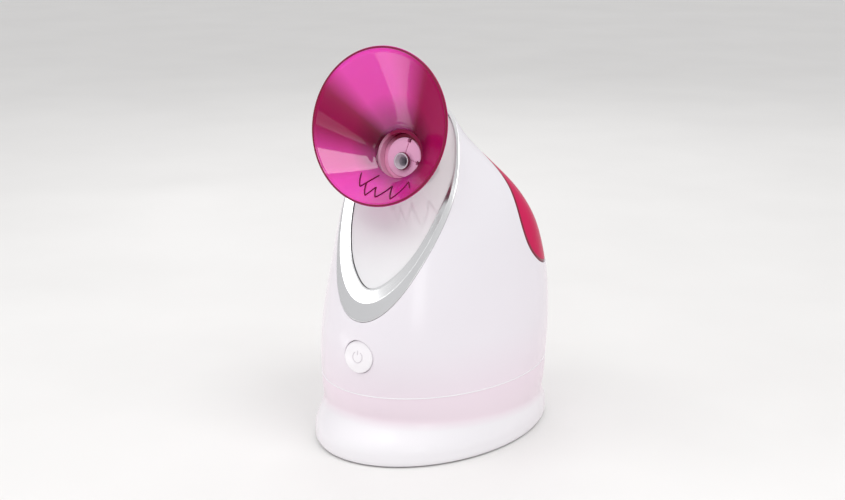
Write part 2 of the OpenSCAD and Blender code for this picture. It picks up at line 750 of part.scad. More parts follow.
module board_posts() {
    color(white) for (p = POST_SPOTS) translate([p[0] + board_c[0], p[1] + board_c[1], plate_z + plate_h]) {
        cylinder(r = 3, h = board_z - plate_z - plate_h, $fn = 32);
        cylinder(r = 1.55, h = board_z + 3 - plate_z - plate_h, $fn = 32);
    }
}

module power_relay() {
    color([0.2, 0.3, 0.6]) translate([-20, 44, 13.6]) rounded_box(19, 15, 15, 1);
}

module film_capacitor() {
    color([0.75, 0.2, 0.15]) translate([20, 46, 13.6]) rounded_box(18, 9, 14, 1.5);
}

module transformer() {
    color([0.85, 0.7, 0.2]) translate([0, 22, 13.6]) {
        rounded_box(22, 16, 14, 1);
        translate([0, 0, 3]) rounded_box(26, 10, 8, 1);
    }
}

module terminal_block() {
    color([0.9, 0.9, 0.85]) translate([0, 70, plate_z + plate_h]) difference() {
        rounded_box(24, 12, 12, 0.8);
        for (i = [-1:1]) translate([i * 7, 0, 7]) cylinder(r = 2, h = 6, $fn = 32);
    }
}

// Bush in the back of the base that the mains lead passes through
module cord_gland() {
    color(dark) translate([0, 0, gland_z]) rotate([-90, 0, 0]) difference() {
        union() {
            translate([0, 0, 80]) cylinder(r = 5.95, h = 12, $fn = 48);
            translate([0, 0, 80]) cylinder(r = 8, h = 3, $fn = 48);
        }
        translate([0, 0, 70]) cylinder(r = 3.4, h = 40, $fn = 48);
    }
}

// ======== funnel ========

module swivel_ring() {
    color(pink) on_nozzle() translate([0, 0, -14]) tube(collar_r, neck_r + neck_fit, 3);
}

module funnel_collar() {
    color(magenta) on_nozzle() translate([0, 0, -10.7]) tube(collar_r, neck_r + neck_fit, 12.6);
}

module steam_funnel() {
    color(magenta) on_nozzle() as_mesh() difference() {
        skin(funnel_rings(funnel_wall));
        skin(concat([funnel_ring(-1, 0, collar_r + socket_fit)], funnel_rings(0),
            [let(b = bell(1)) funnel_ring(b[0] + 1, b[1] + 0.6, b[2] - funnel_wall + 1.2)]));
    }
}

// A rib from one wall point to another
module rib(p, q) {
    hull() {
        translate(p) sphere(0.6, $fn = 8);
        translate(q) sphere(0.6, $fn = 8);
    }
}

// Two rows of saw teeth on the lower wall of the funnel, which hold back drips
module drip_teeth() {
    color(crimson) on_nozzle() for (row = TEETH, i = [0:len(row) - 2], k = [0:tooth_parts - 1]) {
        step = (row[i + 1] - row[i]) / tooth_parts;
        p = row[i] + k * step;
        q = p + step;
        rib(wall_point(p[0], p[1], 0), wall_point(q[0], q[1], 0));
    }
}

// ======== water tank ========

module tank_hood() {
    color(crimson) as_mesh() difference() {
        intersection() {
            casing_solid(0.3);
            behind_seam(0.4);
        }
        intersection() {
            casing_solid(2.6);
            union() {
                behind_seam(2.6);
                translate([-90, 22.5, 90]) cube([180, 90, tank_top_z - 90]);
            }
        }
    }
}

module water_tank() {
    color([0.9, 0.95, 1, 0.4]) difference() {
        union() {
            as_mesh() intersection() {
                casing_solid(2.7);
                translate([-90, 23, tank_top_z - 2.4]) cube([180, 90, 2.4]);
            }
            translate([0, tank_y, tank_z]) rounded_box(tank_w, tank_d, tank_top_z - 1 - tank_z, tank_r);
            translate([0, tank_y, tank_z - 9]) cylinder(r = neck_out_r, h = 10, $fn = 64);
        }
        translate([0, tank_y, tank_z + tank_wall]) rounded_box(tank_w - 2 * tank_wall,
            tank_d - 2 * tank_wall, tank_top_z - tank_z - tank_wall - 2.4, tank_r - tank_wall);
        translate([0, tank_y, tank_z - 12]) cylinder(r = neck_in_r, h = 16, $fn = 64);
    }
}

// Quarter-turn cap on the tank's neck, with the valve seat in its floor
module tank_cap() {
    color(pink) translate([0, tank_y, cap_z]) difference() {
        cylinder(r = cap_r, h = 11, $fn = 64);
        translate([0, 0, cap_floor]) cylinder(r = neck_out_r + 0.08, h = 20, $fn = 64);
        translate([0, 0, -1]) cylinder(r = 4, h = 6, $fn = 48);
        for (i = [0:11]) rotate(i * 30) translate([cap_r + 1, 0, -1]) cylinder(r = 2, h = 13, $fn = 24);
    }
}

module cap_seal() {
    color(dark) translate([0, tank_y, cap_z + cap_floor]) tube(neck_out_r - 0.1, neck_in_r, 0.45);
}

// Cage on the cap's floor that holds the top of the valve spring
module valve_cage() {
    cage_h = 17.2;
    color(white) translate([0, tank_y, cap_z + cap_floor]) difference() {
        cylinder(r = cage_r, h = cage_h, $fn = 64);
        translate([0, 0, -1]) cylinder(r = cage_r - 1.5, h = cage_h - 0.8, $fn = 64);
        for (a = [0:90:270]) rotate(a) {
            translate([5.4, 0, cage_h - 3]) cylinder(r = 2.2, h = 5, $fn = 32);
            translate([cage_r - 3, 0, 4]) linear_extrude(9) square([8, 7], center = true);
        }
    }
}

// Valve: a disc over the seat on a stem that the pin pushes up
module valve_poppet() {
    color([0.3, 0.3, 0.32]) translate([0, tank_y, 0]) {
        translate([0, 0, cap_z - 0.2]) cylinder(r = 2, h = 8, $fn = 32);
        translate([0, 0, cap_z + 6.2]) cylinder(r = 6.5, h = 1.6, $fn = 48);
    }
}

// Coil spring over the disc
module valve_spring() {
    turns = 4;
    steps = 12;
    low = cap_z + 7.9;
    rise = 9.6;
    coil_r = 4.6;
    wire = 0.45;
    function ring(k) = let(a = 360 * k / steps, z = low + wire + rise * k / (turns * steps))
        [for (j = [0:5]) [(coil_r + wire * cos(60 * j)) * cos(a),
                          tank_y + (coil_r + wire * cos(60 * j)) * sin(a), z + wire * sin(60 * j)]];
    rings = [for (k = [0:turns * steps]) ring(k)];
    color(silver) skin(rings);
}

upper_housing();
base_skirt();
bottom_plate();
rubber_feet();
base_screws();
housing_screws();
trim_ring();
front_panel();
nozzle_neck();
nozzle_face();
outlet_tube();
neck_o_ring();
steam_elbow();
steam_riser();
ioniser_needle();
ioniser_module();
boiler_cup();
boiler_gasket();
boiler_lid();
boiler_screws();
heater_disc();
boiler_stand();
thermostat();
thermal_fuse();
feed_hose();
tank_well();
well_seal();
valve_pin();
button_guide();
button_board();
tact_switch();
indicator_led();
control_board();
board_posts();
power_relay();
film_capacitor();
transformer();
terminal_block();
cord_gland();
power_button();
switch_plunger();
swivel_ring();
steam_funnel();
funnel_collar();
drip_teeth();
tank_hood();
water_tank();
tank_cap();
cap_seal();
valve_cage();
valve_poppet();
valve_spring();
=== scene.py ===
"""Looks of the facial steamer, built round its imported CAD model.

Shapes are worked out in millimetres in the model's own frame and turned into metres by make().
Lights, the camera and distances inside materials are in metres.
"""

import json
from math import atan2, cos, pi, radians, sin

import bmesh
import bpy
import numpy as np
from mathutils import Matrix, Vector
from mathutils.geometry import delaunay_2d_cdt


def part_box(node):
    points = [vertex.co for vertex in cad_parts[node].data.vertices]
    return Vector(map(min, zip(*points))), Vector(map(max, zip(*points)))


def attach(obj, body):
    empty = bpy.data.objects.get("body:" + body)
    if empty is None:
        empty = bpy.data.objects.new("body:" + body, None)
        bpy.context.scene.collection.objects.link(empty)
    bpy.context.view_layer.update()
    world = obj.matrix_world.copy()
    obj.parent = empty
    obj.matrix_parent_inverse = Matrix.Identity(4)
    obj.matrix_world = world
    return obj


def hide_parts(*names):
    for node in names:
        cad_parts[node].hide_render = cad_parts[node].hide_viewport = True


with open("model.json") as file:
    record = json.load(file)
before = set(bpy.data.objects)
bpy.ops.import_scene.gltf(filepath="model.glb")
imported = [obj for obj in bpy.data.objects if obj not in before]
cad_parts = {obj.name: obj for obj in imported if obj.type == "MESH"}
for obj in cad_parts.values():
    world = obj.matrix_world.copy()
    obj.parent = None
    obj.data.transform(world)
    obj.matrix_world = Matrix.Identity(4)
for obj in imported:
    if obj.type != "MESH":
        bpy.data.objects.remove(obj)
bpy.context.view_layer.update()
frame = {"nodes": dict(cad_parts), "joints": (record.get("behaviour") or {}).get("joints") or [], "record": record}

MM = 0.001
joints = {j["name"]: j for j in frame["joints"]}


def box_mm(node):
    """Lowest and highest corner of a CAD node, in millimetres."""
    low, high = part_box(node)
    return np.array(low) / MM, np.array(high) / MM


# ---------------------------------------------------------------- sizes

# Casing sections, seam to top: height, front y, back y, y of the widest line, half width
SEAM_Z = box_mm("upper_housing")[0][2]
STATIONS = np.array([
    [SEAM_Z, -85.4, 90.5, 5, 67.8],
    [60, -87.6, 90.3, 9, 68.2],
    [80, -87.5, 87.4, 15, 67.4],
    [100, -83.7, 82.8, 20, 65.6],
    [120, -78.2, 75.2, 21, 63.2],
    [140, -72.2, 63.3, 18, 59.7],
    [160, -66.4, 47, 9, 52.3],
    [180, -61, 26, -4.5, 39.5],
    [195, -57, 11, -17, 30],
    [207, -53.7, 2.8, -22, 25.5],
    [217, -51, -4.6, -25, 21.2]])
CASING_WALL = 2.4

# Flat front face: its lower tip, its lean back from vertical, about half its width, and the heights up it
# between which its lower and its upper end are looked for
FACE_Y, FACE_Z, FACE_LEAN = -85.4, 90.8, radians(32.8)
FACE_HALF = 39
FACE_LOW, FACE_HIGH = (-25, 40), (110, 151)
# Height up the face and half width of the trim ring's inner edge and of its ridge
INNER_EDGE = np.array([
    [20.5, 22.5], [35, 27.3], [53, 29.6], [78, 31.6], [97, 34.2], [124, 36.2], [147, 37.5]])
RIDGE_EDGE = np.array([[10.5, 32.5], [45, 34], [63, 35.2], [85, 37], [148.5, 38.4]])
# Trim ring: height of its ridge, its back, and how deep its outer edge sits in the casing
RIDGE_H, RING_BACK, RING_SEAT = 2.2, -3, 0.12
# Front panel: gap to the ring and thickness, then depth of its edge, rise of its crown and the height up the
# face where the crown peaks, then radius of the hole for the neck
PANEL_GAP, PANEL_WALL = 0.4, 2.0
PANEL_SINK, PANEL_CROWN, PANEL_MID = 0.8, 1.6, 84
PANEL_HOLE_R = 18.4

# Hood seam in side view, as y and z: down the front, round a slightly squared corner, then to the back
SEAM_TOP = [[3.4, 207], [3.4, 192], [4.1, 187.5], [5.6, 183], [7.4, 178.5], [8.8, 173], [9.5, 166]]
SEAM_C, SEAM_R, SEAM_POWER = (50, 150), (40.4, 43), 0.85
SEAM_BACK = [[75, 105.5], [100, 104]]
# Hood: gap at its seam, depth below the casing's surface, wall, round of its edge, width of the painted shade
# along its edge
HOOD_GAP, HOOD_INSET, HOOD_WALL, HOOD_ROUND = 0.4, 0.3, 2.3, 1.2
HOOD_PAINTED_SHADE_WIDTH = 2.4

# Seam between casing and base: its middle, its mean radius, the radius of the bead along it, and how far
# below it the bead and the base's top edge lie
SEAM_MID = np.array([0, STATIONS[0, 3], 0])
SEAM_MEAN_R = 75
SEAM_BEAD, SEAM_DROP = 0.33, 0.3
# Base: half sizes at the ground, height of its lower edge, height and depth of that edge's round, the height
# where its flare starts, and the cove above the flare
BASE_SIDES = 256
BASE_W, BASE_L = box_mm("base_skirt")[1][:2]
SKIRT_LIFT = box_mm("base_skirt")[0][2]
FOOT_RISE, FOOT_IN = 3.2, 1.6
FLARE_Z = 8
COVE = {"half": 66.4, "front": -83.4, "back": 87.8, "z": 22.4, "fall": -0.078, "mid": 2}

# Nozzle: a point on its axis, the way out along it, and the way up across it
NOZZLE = np.array(joints["funnel_turn"]["pos_m"]) / MM
NOZZLE_OUT = np.array(joints["funnel_turn"]["axis"], float)
NOZZLE_UP = np.array([0, NOZZLE_OUT[2], -NOZZLE_OUT[1]])
# Radii of the neck, its flange, the collar on it and the socket that takes the collar
NECK_R, NECK_FLANGE_R, COLLAR_R, SOCKET_R = 14.9, 18.2, 17.2, 17.28
# Places along the axis: the neck's back and mouth, the collar's ends, the disc, the outlet's back and tip
NECK_BACK, MOUTH_OUT = -20.8, -2.9
COLLAR_BACK, COLLAR_FRONT = -10.7, 1.9
DISC_OUT, OUTLET_BACK, TIP_OUT = -2.4, -18.9, 0.6
# The outlet's axis runs below the nozzle's
OUTLET = NOZZLE - 2.6 * NOZZLE_UP
# Funnel: wall, and place and outer radius of its rim and its throat, with a slight bulge between them
FUNNEL_WALL = 1.8
RIM = {"out": 31.2, "up": 17.2, "r": 48.8}
THROAT = {"out": 5.4, "up": 4.6, "r": 19.6}
BULGE_POWER = 0.93
# Drip teeth: radius of the bead and how far its middle stands off the wall, then the turning points, each as
# a share of the way out along the funnel's wall and an angle in degrees
TOOTH_R, TOOTH_LIFT = 0.48, 0.1
TEETH = [[(0.34, -132), (0.61, -114), (0.10, -118)],
         [(0.41, -116), (0.77, -101), (0.40, -102), (0.74, -91), (0.27, -83), (0.84, -74), (0.29, -57),
          (0.68, -54)]]
# Angles of the two notches in the nozzle's disc, in degrees
NOTCH_ANGLES = (75, -15)

# Button: middle of its front and the way out, then its radius, gap, round of its edge and rise of its dome
BUTTON = np.array([0, -88.3, 68.1])
BUTTON_OUT = -np.array(joints["power_button_push"]["axis"], float)
BUTTON_R, BUTTON_GAP, BUTTON_ROUND, BUTTON_DOME = 10.1, 0.35, 0.8, 0.9

# Spacing of mesh points along the casing's cut edges, along its seam and over its surface
EDGE_STEP, SEAM_STEP, GRID_STEP = 1.3, 1.6, 2.4
# Depth given to points that lie away from every edge of a shell
DEEP = 1e3
# A direction that no bead runs along
BEAD_ASIDE = np.array([0.3, -0.9, 0.31])


# ---------------------------------------------------------------- numbers and meshes

def hermite(table, column, x):
    """Smooth values of a table's column at x, through its rows."""
    t, v = table[:, 0], table[:, column]
    slope = np.gradient(v, t)
    slope[1:-1] = (v[2:] - v[:-2]) / (t[2:] - t[:-2])
    i = np.clip(np.searchsorted(t, x) - 1, 0, len(t) - 2)
    h = t[i + 1] - t[i]
    u = np.clip((x - t[i]) / h, 0, 1)
    return ((2 * u**3 - 3 * u**2 + 1) * v[i] + (u**3 - 2 * u**2 + u) * h * slope[i]
            + (3 * u**2 - 2 * u**3) * v[i + 1] + (u**3 - u**2) * h * slope[i + 1])


def along(points, step, closed=False):
    """Points spaced evenly along a line of points."""
    points = np.asarray(points, float)
    if closed:
        points = np.vstack([points, points[:1]])
    far = np.r_[0, np.cumsum(np.linalg.norm(np.diff(points, axis=0), axis=1))]
    n = max(int(round(far[-1] / step)), 2)
    at = np.linspace(0, far[-1], n + 1)
    if closed:
        at = at[:-1]
    return np.stack([np.interp(at, far, points[:, c]) for c in range(points.shape[1])], -1)


def rounded_line(points, steps=8):
    """A smooth line through points."""
    p = np.asarray(points, float)
    p = np.vstack([2 * p[0] - p[1], p, 2 * p[-1] - p[-2]])
    out = []
    for a, b, c, d in zip(p, p[1:], p[2:], p[3:]):
        for t in np.arange(steps) / steps:
            out.append(0.5 * (2 * b + (c - a) * t + (2 * a - 5 * b + 4 * c - d) * t * t
                              + (3 * b - a - 3 * c + d) * t**3))
    return np.array(out + [p[-2]])


def turns(count):
    """Evenly spaced angles round a full turn."""
    return np.arange(count) * 2 * pi / count


def circle(radius, out, count, up=0.0):
    """Points of a circle, as across, up and out."""
    angle = turns(count)
    return np.stack([radius * np.cos(angle), up + radius * np.sin(angle), np.full(count, out)], -1)


def unit(v):
    return v / np.linalg.norm(v, axis=-1, keepdims=True)


def place(points, origin, out):
    """Points given as across, up and out, put on an axis that leans in the YZ plane."""
    p = np.asarray(points, float)
    out = np.asarray(out, float)
    up = np.array([0, out[2], -out[1]])
    return origin + p[..., :1] * np.array([1.0, 0, 0]) + p[..., 1:2] * up + p[..., 2:3] * out


def make(name, skin, body, slot, replaces, look=None, sharp=38, also=()):
    """A mesh piece that rides on a body, in the look named like its slot unless another is given.

    A skin is its vertices and its faces. also holds more skins for the same piece.
    """
    verts, faces = [], []
    for more_verts, more_faces in (skin, *also):
        start = len(verts)
        verts += [tuple(v) for v in np.asarray(more_verts, float)]
        faces += [tuple(int(i) + start for i in f) for f in more_faces]
    mesh = bpy.data.meshes.new(name)
    mesh.from_pydata([(x * MM, y * MM, z * MM) for x, y, z in verts], [], faces)
    mesh.validate()
    solid = bmesh.new()
    solid.from_mesh(mesh)
    bmesh.ops.recalc_face_normals(solid, faces=solid.faces)
    solid.to_mesh(mesh)
    solid.free()
    mesh.shade_smooth()
    mesh.set_sharp_from_angle(angle=radians(sharp))
    mesh.materials.append(looks[look or slot])
    piece = bpy.data.objects.new(name, mesh)
    bpy.context.scene.collection.objects.link(piece)
    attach(piece, body)
    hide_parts(*replaces)
    return piece


def paint(piece, material, test):
    """Gives another material to the faces whose corners all pass a test on their places."""
    mesh = piece.data
    mesh.materials.append(material)
    points = np.array([v.co[:] for v in mesh.vertices]) / MM
    chosen = test(points)
    for polygon in mesh.polygons:
        if all(chosen[i] for i in polygon.vertices):
            polygon.material_index = len(mesh.materials) - 1


def loft(rings, round_again=False):
    """A skin through rings of equal length, capped unless its last ring joins the first again."""
    n, m = len(rings[0]), len(rings)
    faces = []
    for k in range(m if round_again else m - 1):
        for i in range(n):
            a, b = k * n + i, k * n + (i + 1) % n
            c, d = (k + 1) % m * n + (i + 1) % n, (k + 1) % m * n + i
            faces.append((a, b, c, d))
    if not round_again:
        faces += [tuple(range(n - 1, -1, -1)), tuple((m - 1) * n + i for i in range(n))]
    return np.vstack(rings), faces


def lathe(profile, origin, out, sides=128, round_again=True):
    """A solid of revolution. The profile is radius and distance out, anticlockwise."""
    return loft([place(circle(r, h, sides), origin, out) for r, h in profile], round_again)


def fillet(corner, before, after, radius):
    """Points of a small round at a corner between two straight lines."""
    steps = 4
    corner, before, after = (np.asarray(p, float) for p in (corner, before, after))
    start = corner + unit(before - corner) * radius
    end = corner + unit(after - corner) * radius
    t = np.linspace(0, 1, steps + 1)[:, None]
    return list((1 - t)**2 * start + 2 * t * (1 - t) * corner + t**2 * end)


def rounded_profile(points, radii):
    """A closed profile with its corners rounded."""
    out = []
    for i, r in enumerate(radii):
        after = points[(i + 1) % len(points)]
        out += fillet(points[i], points[i - 1], after, r) if r else [np.array(points[i], float)]
    return out


def bead(points, radius):
    """A round bead along a line of points, narrower at its closed ends."""
    sides = 8
    points = np.asarray(points, float)
    t = unit(np.gradient(points, axis=0))
    side = unit(np.cross(t, BEAD_ASIDE))
    up = np.cross(side, t)
    grow = np.ones(len(points))
    grow[[0, -1]] = 0.55
    cross, rise = np.cos(turns(sides))[:, None], np.sin(turns(sides))[:, None]
    return loft([p + g * radius * (cross * s + rise * u) for p, s, u, g in zip(points, side, up, grow)])


def inside(points, loop):
    """Which points lie inside a flat loop."""
    x, y = points[:, 0, None], points[:, 1, None]
    a, b = loop, np.roll(loop, -1, 0)
    across = (a[:, 1] > y) != (b[:, 1] > y)
    rise = np.where(a[:, 1] == b[:, 1], 1, b[:, 1] - a[:, 1])
    return (across & (x < (b[:, 0] - a[:, 0]) * (y - a[:, 1]) / rise + a[:, 0])).sum(1) % 2 == 1


def within(points, loops):
    """Which points lie inside the first of some flat loops and outside the others."""
    keep = inside(points, loops[0])
    for hole in loops[1:]:
        keep &= ~inside(points, hole)
    return keep


def area(loop):
    """Area inside a flat loop."""
    x, y = loop[:, 0], loop[:, 1]
    return abs(np.sum(x * np.roll(y, -1) - y * np.roll(x, -1))) / 2


def inward_of(surface, loop, outer):
    """Unit steps over a surface from an edge into its material. outer tells an outline from a hole."""
    flat = surface.flatten(loop)
    tangent = np.roll(loop, -1, 0) - np.roll(loop, 1, 0)
    inward = unit(np.cross(surface.normal(flat), tangent))
    grown = area(surface.flatten(loop + inward)) > area(flat)
    return -inward if grown == outer else inward


def edge_rows(surface, loop, radius, outer):
    """Rows of points that follow an edge of a surface, close together where the edge is rounded."""
    inward = inward_of(surface, loop, outer)
    depths = [0, 0.1 * radius, 0.3 * radius, 0.6 * radius, radius, radius + 0.5, radius + 1.6]
    return [(d, surface.flatten(loop + d * inward)) for d in depths]


def shell(surface, outer, holes, radii, spacing, inset, thickness):
    """A closed shell under a surface, with rounded edges along its outline and its holes."""
    loops = [edge_rows(surface, outer, radii[0], True)]
    loops += [edge_rows(surface, hole, r, False) for hole, r in zip(holes, radii[1:])]
    flat, depth, rim, edges = [], [], [], []
    for rows, radius in zip(loops, radii):
        for d, row in rows:
            start, n = len(flat), len(row)
            flat += list(row)
            depth += [d] * n
            rim += [radius] * n
            edges += [(start + i, start + (i + 1) % n) for i in range(n)]
    # The first row of each loop is the cut edge itself
    lines = [rows[0][1] for rows in loops]
    edge_points = np.vstack([surface.point(line) for line in lines])
    last = max(rows[-1][0] for rows in loops)
    grid = surface.grid(spacing)
    grid = grid[within(grid, lines)]
    gap = np.array([np.min(np.sum((edge_points - p)**2, 1)) for p in surface.point(grid)])
    grid = grid[gap > (last + 0.5 * spacing)**2]
    flat += list(grid)
    depth += [DEEP] * len(grid)
    rim += [1.0] * len(grid)

    merge = 1e-7
    verts, _, tris, origin, _, _ = delaunay_2d_cdt([Vector(p) for p in flat], edges, [], 0, merge)
    plan = np.array([tuple(v) for v in verts])
    tris = np.array([tuple(t) for t in tris])
    tris = tris[within(plan[tris].mean(1), lines)]
    source = [o[0] for o in origin]
    d = np.array([depth[s] for s in source])
    r = np.array([rim[s] for s in source])
    # How far the rounded edges fall away from the surface
    drop = np.where(d < r, r - np.sqrt(np.maximum(r**2 - (r - np.minimum(d, r))**2, 0)), 0)
    top = surface.point(plan)
    normal = surface.normal(plan)
    first, second, third = (top[tris[:, i]] for i in range(3))
    facing = np.einsum("ij,ij->i", np.cross(second - first, third - first), normal[tris[:, 0]])
    tris[facing < 0] = tris[facing < 0][:, ::-1]
    n = len(plan)
    points = np.vstack([top - normal * (inset + drop)[:, None], top - normal * (inset + thickness)])
    faces = [tuple(t) for t in tris] + [(t[2] + n, t[1] + n, t[0] + n) for t in tris]
    sides = {(t[i], t[(i + 1) % 3]) for t in tris.tolist() for i in range(3)}
    faces += [(b, a, a + n, b + n) for a, b in sorted(sides) if (b, a) not in sides]
    used = sorted({i for f in faces for i in f})
    new = {old: i for i, old in enumerate(used)}
    return points[used], [tuple(new[i] for i in f) for f in faces]


# ---------------------------------------------------------------- the casing's surface

def egg(angle, half, front, back, mid, z):
    """A level egg-shaped line: two half ellipses that meet at y = mid."""
    s = np.sin(angle)
    y = mid + np.where(s < 0, mid - front, back - mid) * s
    return np.stack([half * np.cos(angle), y, z + 0 * angle], -1)


class Casing:
    """The egg-shaped casing. Its flat plan looks down on it, with the seam outermost.

    A place in the plan has the angle round the casing, and REACH less the height as its radius.
    """

    REACH = 300

    def __init__(self):
        low, high, step = STATIONS[0, 0], STATIONS[-1, 0], 0.1
        z = np.arange(low, high + step, step)
        # A blur up the casing rounds the sections into each other: its reach and its width, in steps
        pad, width = 120, 40
        kernel = np.exp(-0.5 * (np.arange(-pad, pad + 1) / width)**2)
        kernel /= kernel.sum()
        self.z = np.arange(low - pad * step, high + (pad + 1) * step, step)
        self.columns = []
        for c in range(1, 5):
            v = hermite(STATIONS, c, z)
            wide = pad * 2
            before = v[0] + (v[1] - v[0]) * np.arange(-wide, 0)
            after = v[-1] + (v[-1] - v[-2]) * np.arange(1, wide + 1)
            soft = np.convolve(np.r_[before, v, after], kernel, "valid")
            at = low + (np.arange(len(soft)) - pad) * step
            self.columns.append(np.interp(self.z, at, soft))

    def section(self, z):
        """Front y, back y, y of the widest line and half width at a height."""
        return [np.interp(z, self.z, c) for c in self.columns]

    def at(self, angle, z):
        """The point at an angle round the casing and a height."""
        front, back, mid, half = self.section(z)
        return egg(angle, half, front, back, mid, z)

    def half(self, y, z):
        """Half width where the casing is cut at y and z."""
        front, back, mid, half = self.section(z)
        u = np.where(y < mid, (y - mid) / (mid - front), (y - mid) / (back - mid))
        return half * np.sqrt(np.maximum(1 - u * u, 0))

    def flatten(self, points):
        """Places in the plan of points on the casing."""
        x, y, z = points.T
        front, back, mid, half = self.section(z)
        v = (y - mid) / np.where(y < mid, mid - front, back - mid)
        return self.lay(np.arctan2(v, x / half), z)

    def lay(self, angle, z):
        return np.stack([(self.REACH - z) * np.cos(angle), (self.REACH - z) * np.sin(angle)], -1)

    def polar(self, plan):
        return np.arctan2(plan[:, 1], plan[:, 0]), self.REACH - np.hypot(plan[:, 0], plan[:, 1])

    def point(self, plan):
        return self.at(*self.polar(plan))

    def normal(self, plan):
        angle, z = self.polar(plan)
        turn, rise = 0.004, 0.3
        round_it = self.at(angle + turn, z) - self.at(angle - turn, z)
        up_it = self.at(angle, z + rise) - self.at(angle, z - rise)
        return unit(np.cross(round_it, up_it))

    def grid(self, spacing):
        """Places in the plan, about evenly spaced over the casing."""
        plan = []
        for k, z in enumerate(np.arange(STATIONS[0, 0] + spacing, STATIONS[-1, 0], spacing * 0.9)):
            front, back, _, half = self.section(z)
            n = int(pi * ((back - front) / 2 + half) / spacing)
            angle = (np.arange(n) + 0.5 * (k % 2)) * 2 * pi / n
            plan.append(self.lay(angle, z))
        return np.vstack(plan)


casing = Casing()


# ---------------------------------------------------------------- lines on the casing

FACE_UP = np.array([0, sin(FACE_LEAN), cos(FACE_LEAN)])
FACE_OUT = np.array([0, -cos(FACE_LEAN), sin(FACE_LEAN)])
FACE_AT = np.array([0, FACE_Y, FACE_Z])


def on_face(points):
    """Points given as across, up the face and out of it."""
    p = np.asarray(points, float)
    return FACE_AT + p[..., :1] * np.array([1.0, 0, 0]) + p[..., 1:2] * FACE_UP + p[..., 2:3] * FACE_OUT


def face_end(d, low, high, behind):
    """Height up the face where the middle of the casing crosses it."""
    for _ in range(40):
        mid = (low + high) / 2
        _, y, z = on_face([0, mid, d])
        front, back, _, _ = casing.section(z)
        outside = y > back if behind else y < front
        if outside == behind:
            high = mid
        else:
            low = mid
    return mid


def outer_edge(d, count):
    """Where the casing's surface meets the plane at distance d from the face."""
    low, high = face_end(d, *FACE_LOW, False), face_end(d, *FACE_HIGH, True)
    angle = turns(count)
    s = (low + high) / 2 - (high - low) / 2 * np.cos(angle)
    yz = on_face(np.stack([0 * s, s, 0 * s + d], -1))
    x = np.where(np.sin(angle) < 0, -1, 1) * casing.half(yz[:, 1], yz[:, 2])
    return np.stack([x, s], -1)


def oval_edge(table, count, inset=0.0):
    """The closed line on the face through a table of heights and half widths, moved in by inset."""
    low, high = table[0, 0] + inset, table[-1, 0] - inset
    angle = turns(count)
    s = (low + high) / 2 - (high - low) / 2 * np.cos(angle)
    return np.stack([(hermite(table, 1, s) - inset) * np.sin(angle), s], -1)


def at_height(edge, d):
    """A line on the face, moved out of it by d."""
    return on_face(np.column_stack([edge, np.full(len(edge), d)]))


def hood_seam(step):
    """The closed line on the casing where the hood begins."""
    t = np.linspace(0, pi / 2, 12)
    corner = np.stack([SEAM_C[0] - SEAM_R[0] * np.maximum(np.cos(t), 0)**SEAM_POWER,
                       SEAM_C[1] - SEAM_R[1] * np.maximum(np.sin(t), 0)**SEAM_POWER], -1)
    side = along(rounded_line(np.vstack([SEAM_TOP, corner, SEAM_BACK])), 0.1)
    _, back, _, _ = casing.section(side[:, 1])
    side = side[side[:, 0] < back]
    x = casing.half(side[:, 0], side[:, 1])
    right = np.column_stack([x, side])
    ends = [[0, casing.section(z)[1], z] for _, z in (side[0], side[-1])]
    loop = np.vstack([[ends[0]], right, [ends[1]], (right * [-1, 1, 1])[::-1]])
    return along(loop, step, closed=True)


def button_hole(radius):
    """A circle round the button's axis, moved out along it onto the casing."""
    ring = circle(radius, 0.0, 96)
    for _ in range(8):
        p = place(ring, BUTTON, BUTTON_OUT)
        front, _, mid, half = casing.section(p[:, 2])
        y = mid - (mid - front) * np.sqrt(1 - (ring[:, 0] / half)**2)
        ring[:, 2] += (y - p[:, 1]) / BUTTON_OUT[1]
    return place(ring, BUTTON, BUTTON_OUT)


# ---------------------------------------------------------------- materials

def new_material(name):
    material = bpy.data.materials.new(name)
    material.use_nodes = True
    tree = material.node_tree
    tree.nodes.clear()
    output = tree.nodes.new("ShaderNodeOutputMaterial")
    shader = tree.nodes.new("ShaderNodeBsdfPrincipled")
    tree.links.new(shader.outputs[0], output.inputs[0])
    return material, tree, shader


def set_inputs(node, values):
    for name, value in values.items():
        node.inputs[name].default_value = value


def object_place(tree):
    return tree.nodes.new("ShaderNodeTexCoord").outputs["Object"]


def noise(tree, scale, detail=3.0, stretch=(1, 1, 1)):
    scaled = tree.nodes.new("ShaderNodeMapping")
    set_inputs(scaled, {"Scale": stretch})
    texture = tree.nodes.new("ShaderNodeTexNoise")
    set_inputs(texture, {"Scale": scale, "Detail": detail})
    tree.links.new(object_place(tree), scaled.inputs["Vector"])
    tree.links.new(scaled.outputs[0], texture.inputs["Vector"])
    return texture.outputs["Fac"]


def ramp(tree, value, stops):
    """Colours along a value; each stop is a position and a colour."""
    node = tree.nodes.new("ShaderNodeValToRGB")
    elements = node.color_ramp.elements
    while len(elements) < len(stops):
        elements.new(0.5)
    for element, (at, colour) in zip(elements, stops):
        element.position = at
        element.color = (*colour, 1)
    tree.links.new(value, node.inputs["Fac"])
    return node.outputs["Color"]


def spread(tree, value, low, high, out_low, out_high):
    """A value's range from low to high, mapped onto another range."""
    node = tree.nodes.new("ShaderNodeMapRange")
    set_inputs(node, {"From Min": low, "From Max": high, "To Min": out_low, "To Max": out_high})
    tree.links.new(value, node.inputs["Value"])
    return node.outputs["Result"]


def times_plus(tree, value, factor, more):
    node = tree.nodes.new("ShaderNodeMath")
    node.operation = "MULTIPLY_ADD"
    node.inputs[1].default_value = factor
    tree.links.new(value, node.inputs[0])
    tree.links.new(more, node.inputs[2])
    return node.outputs[0]


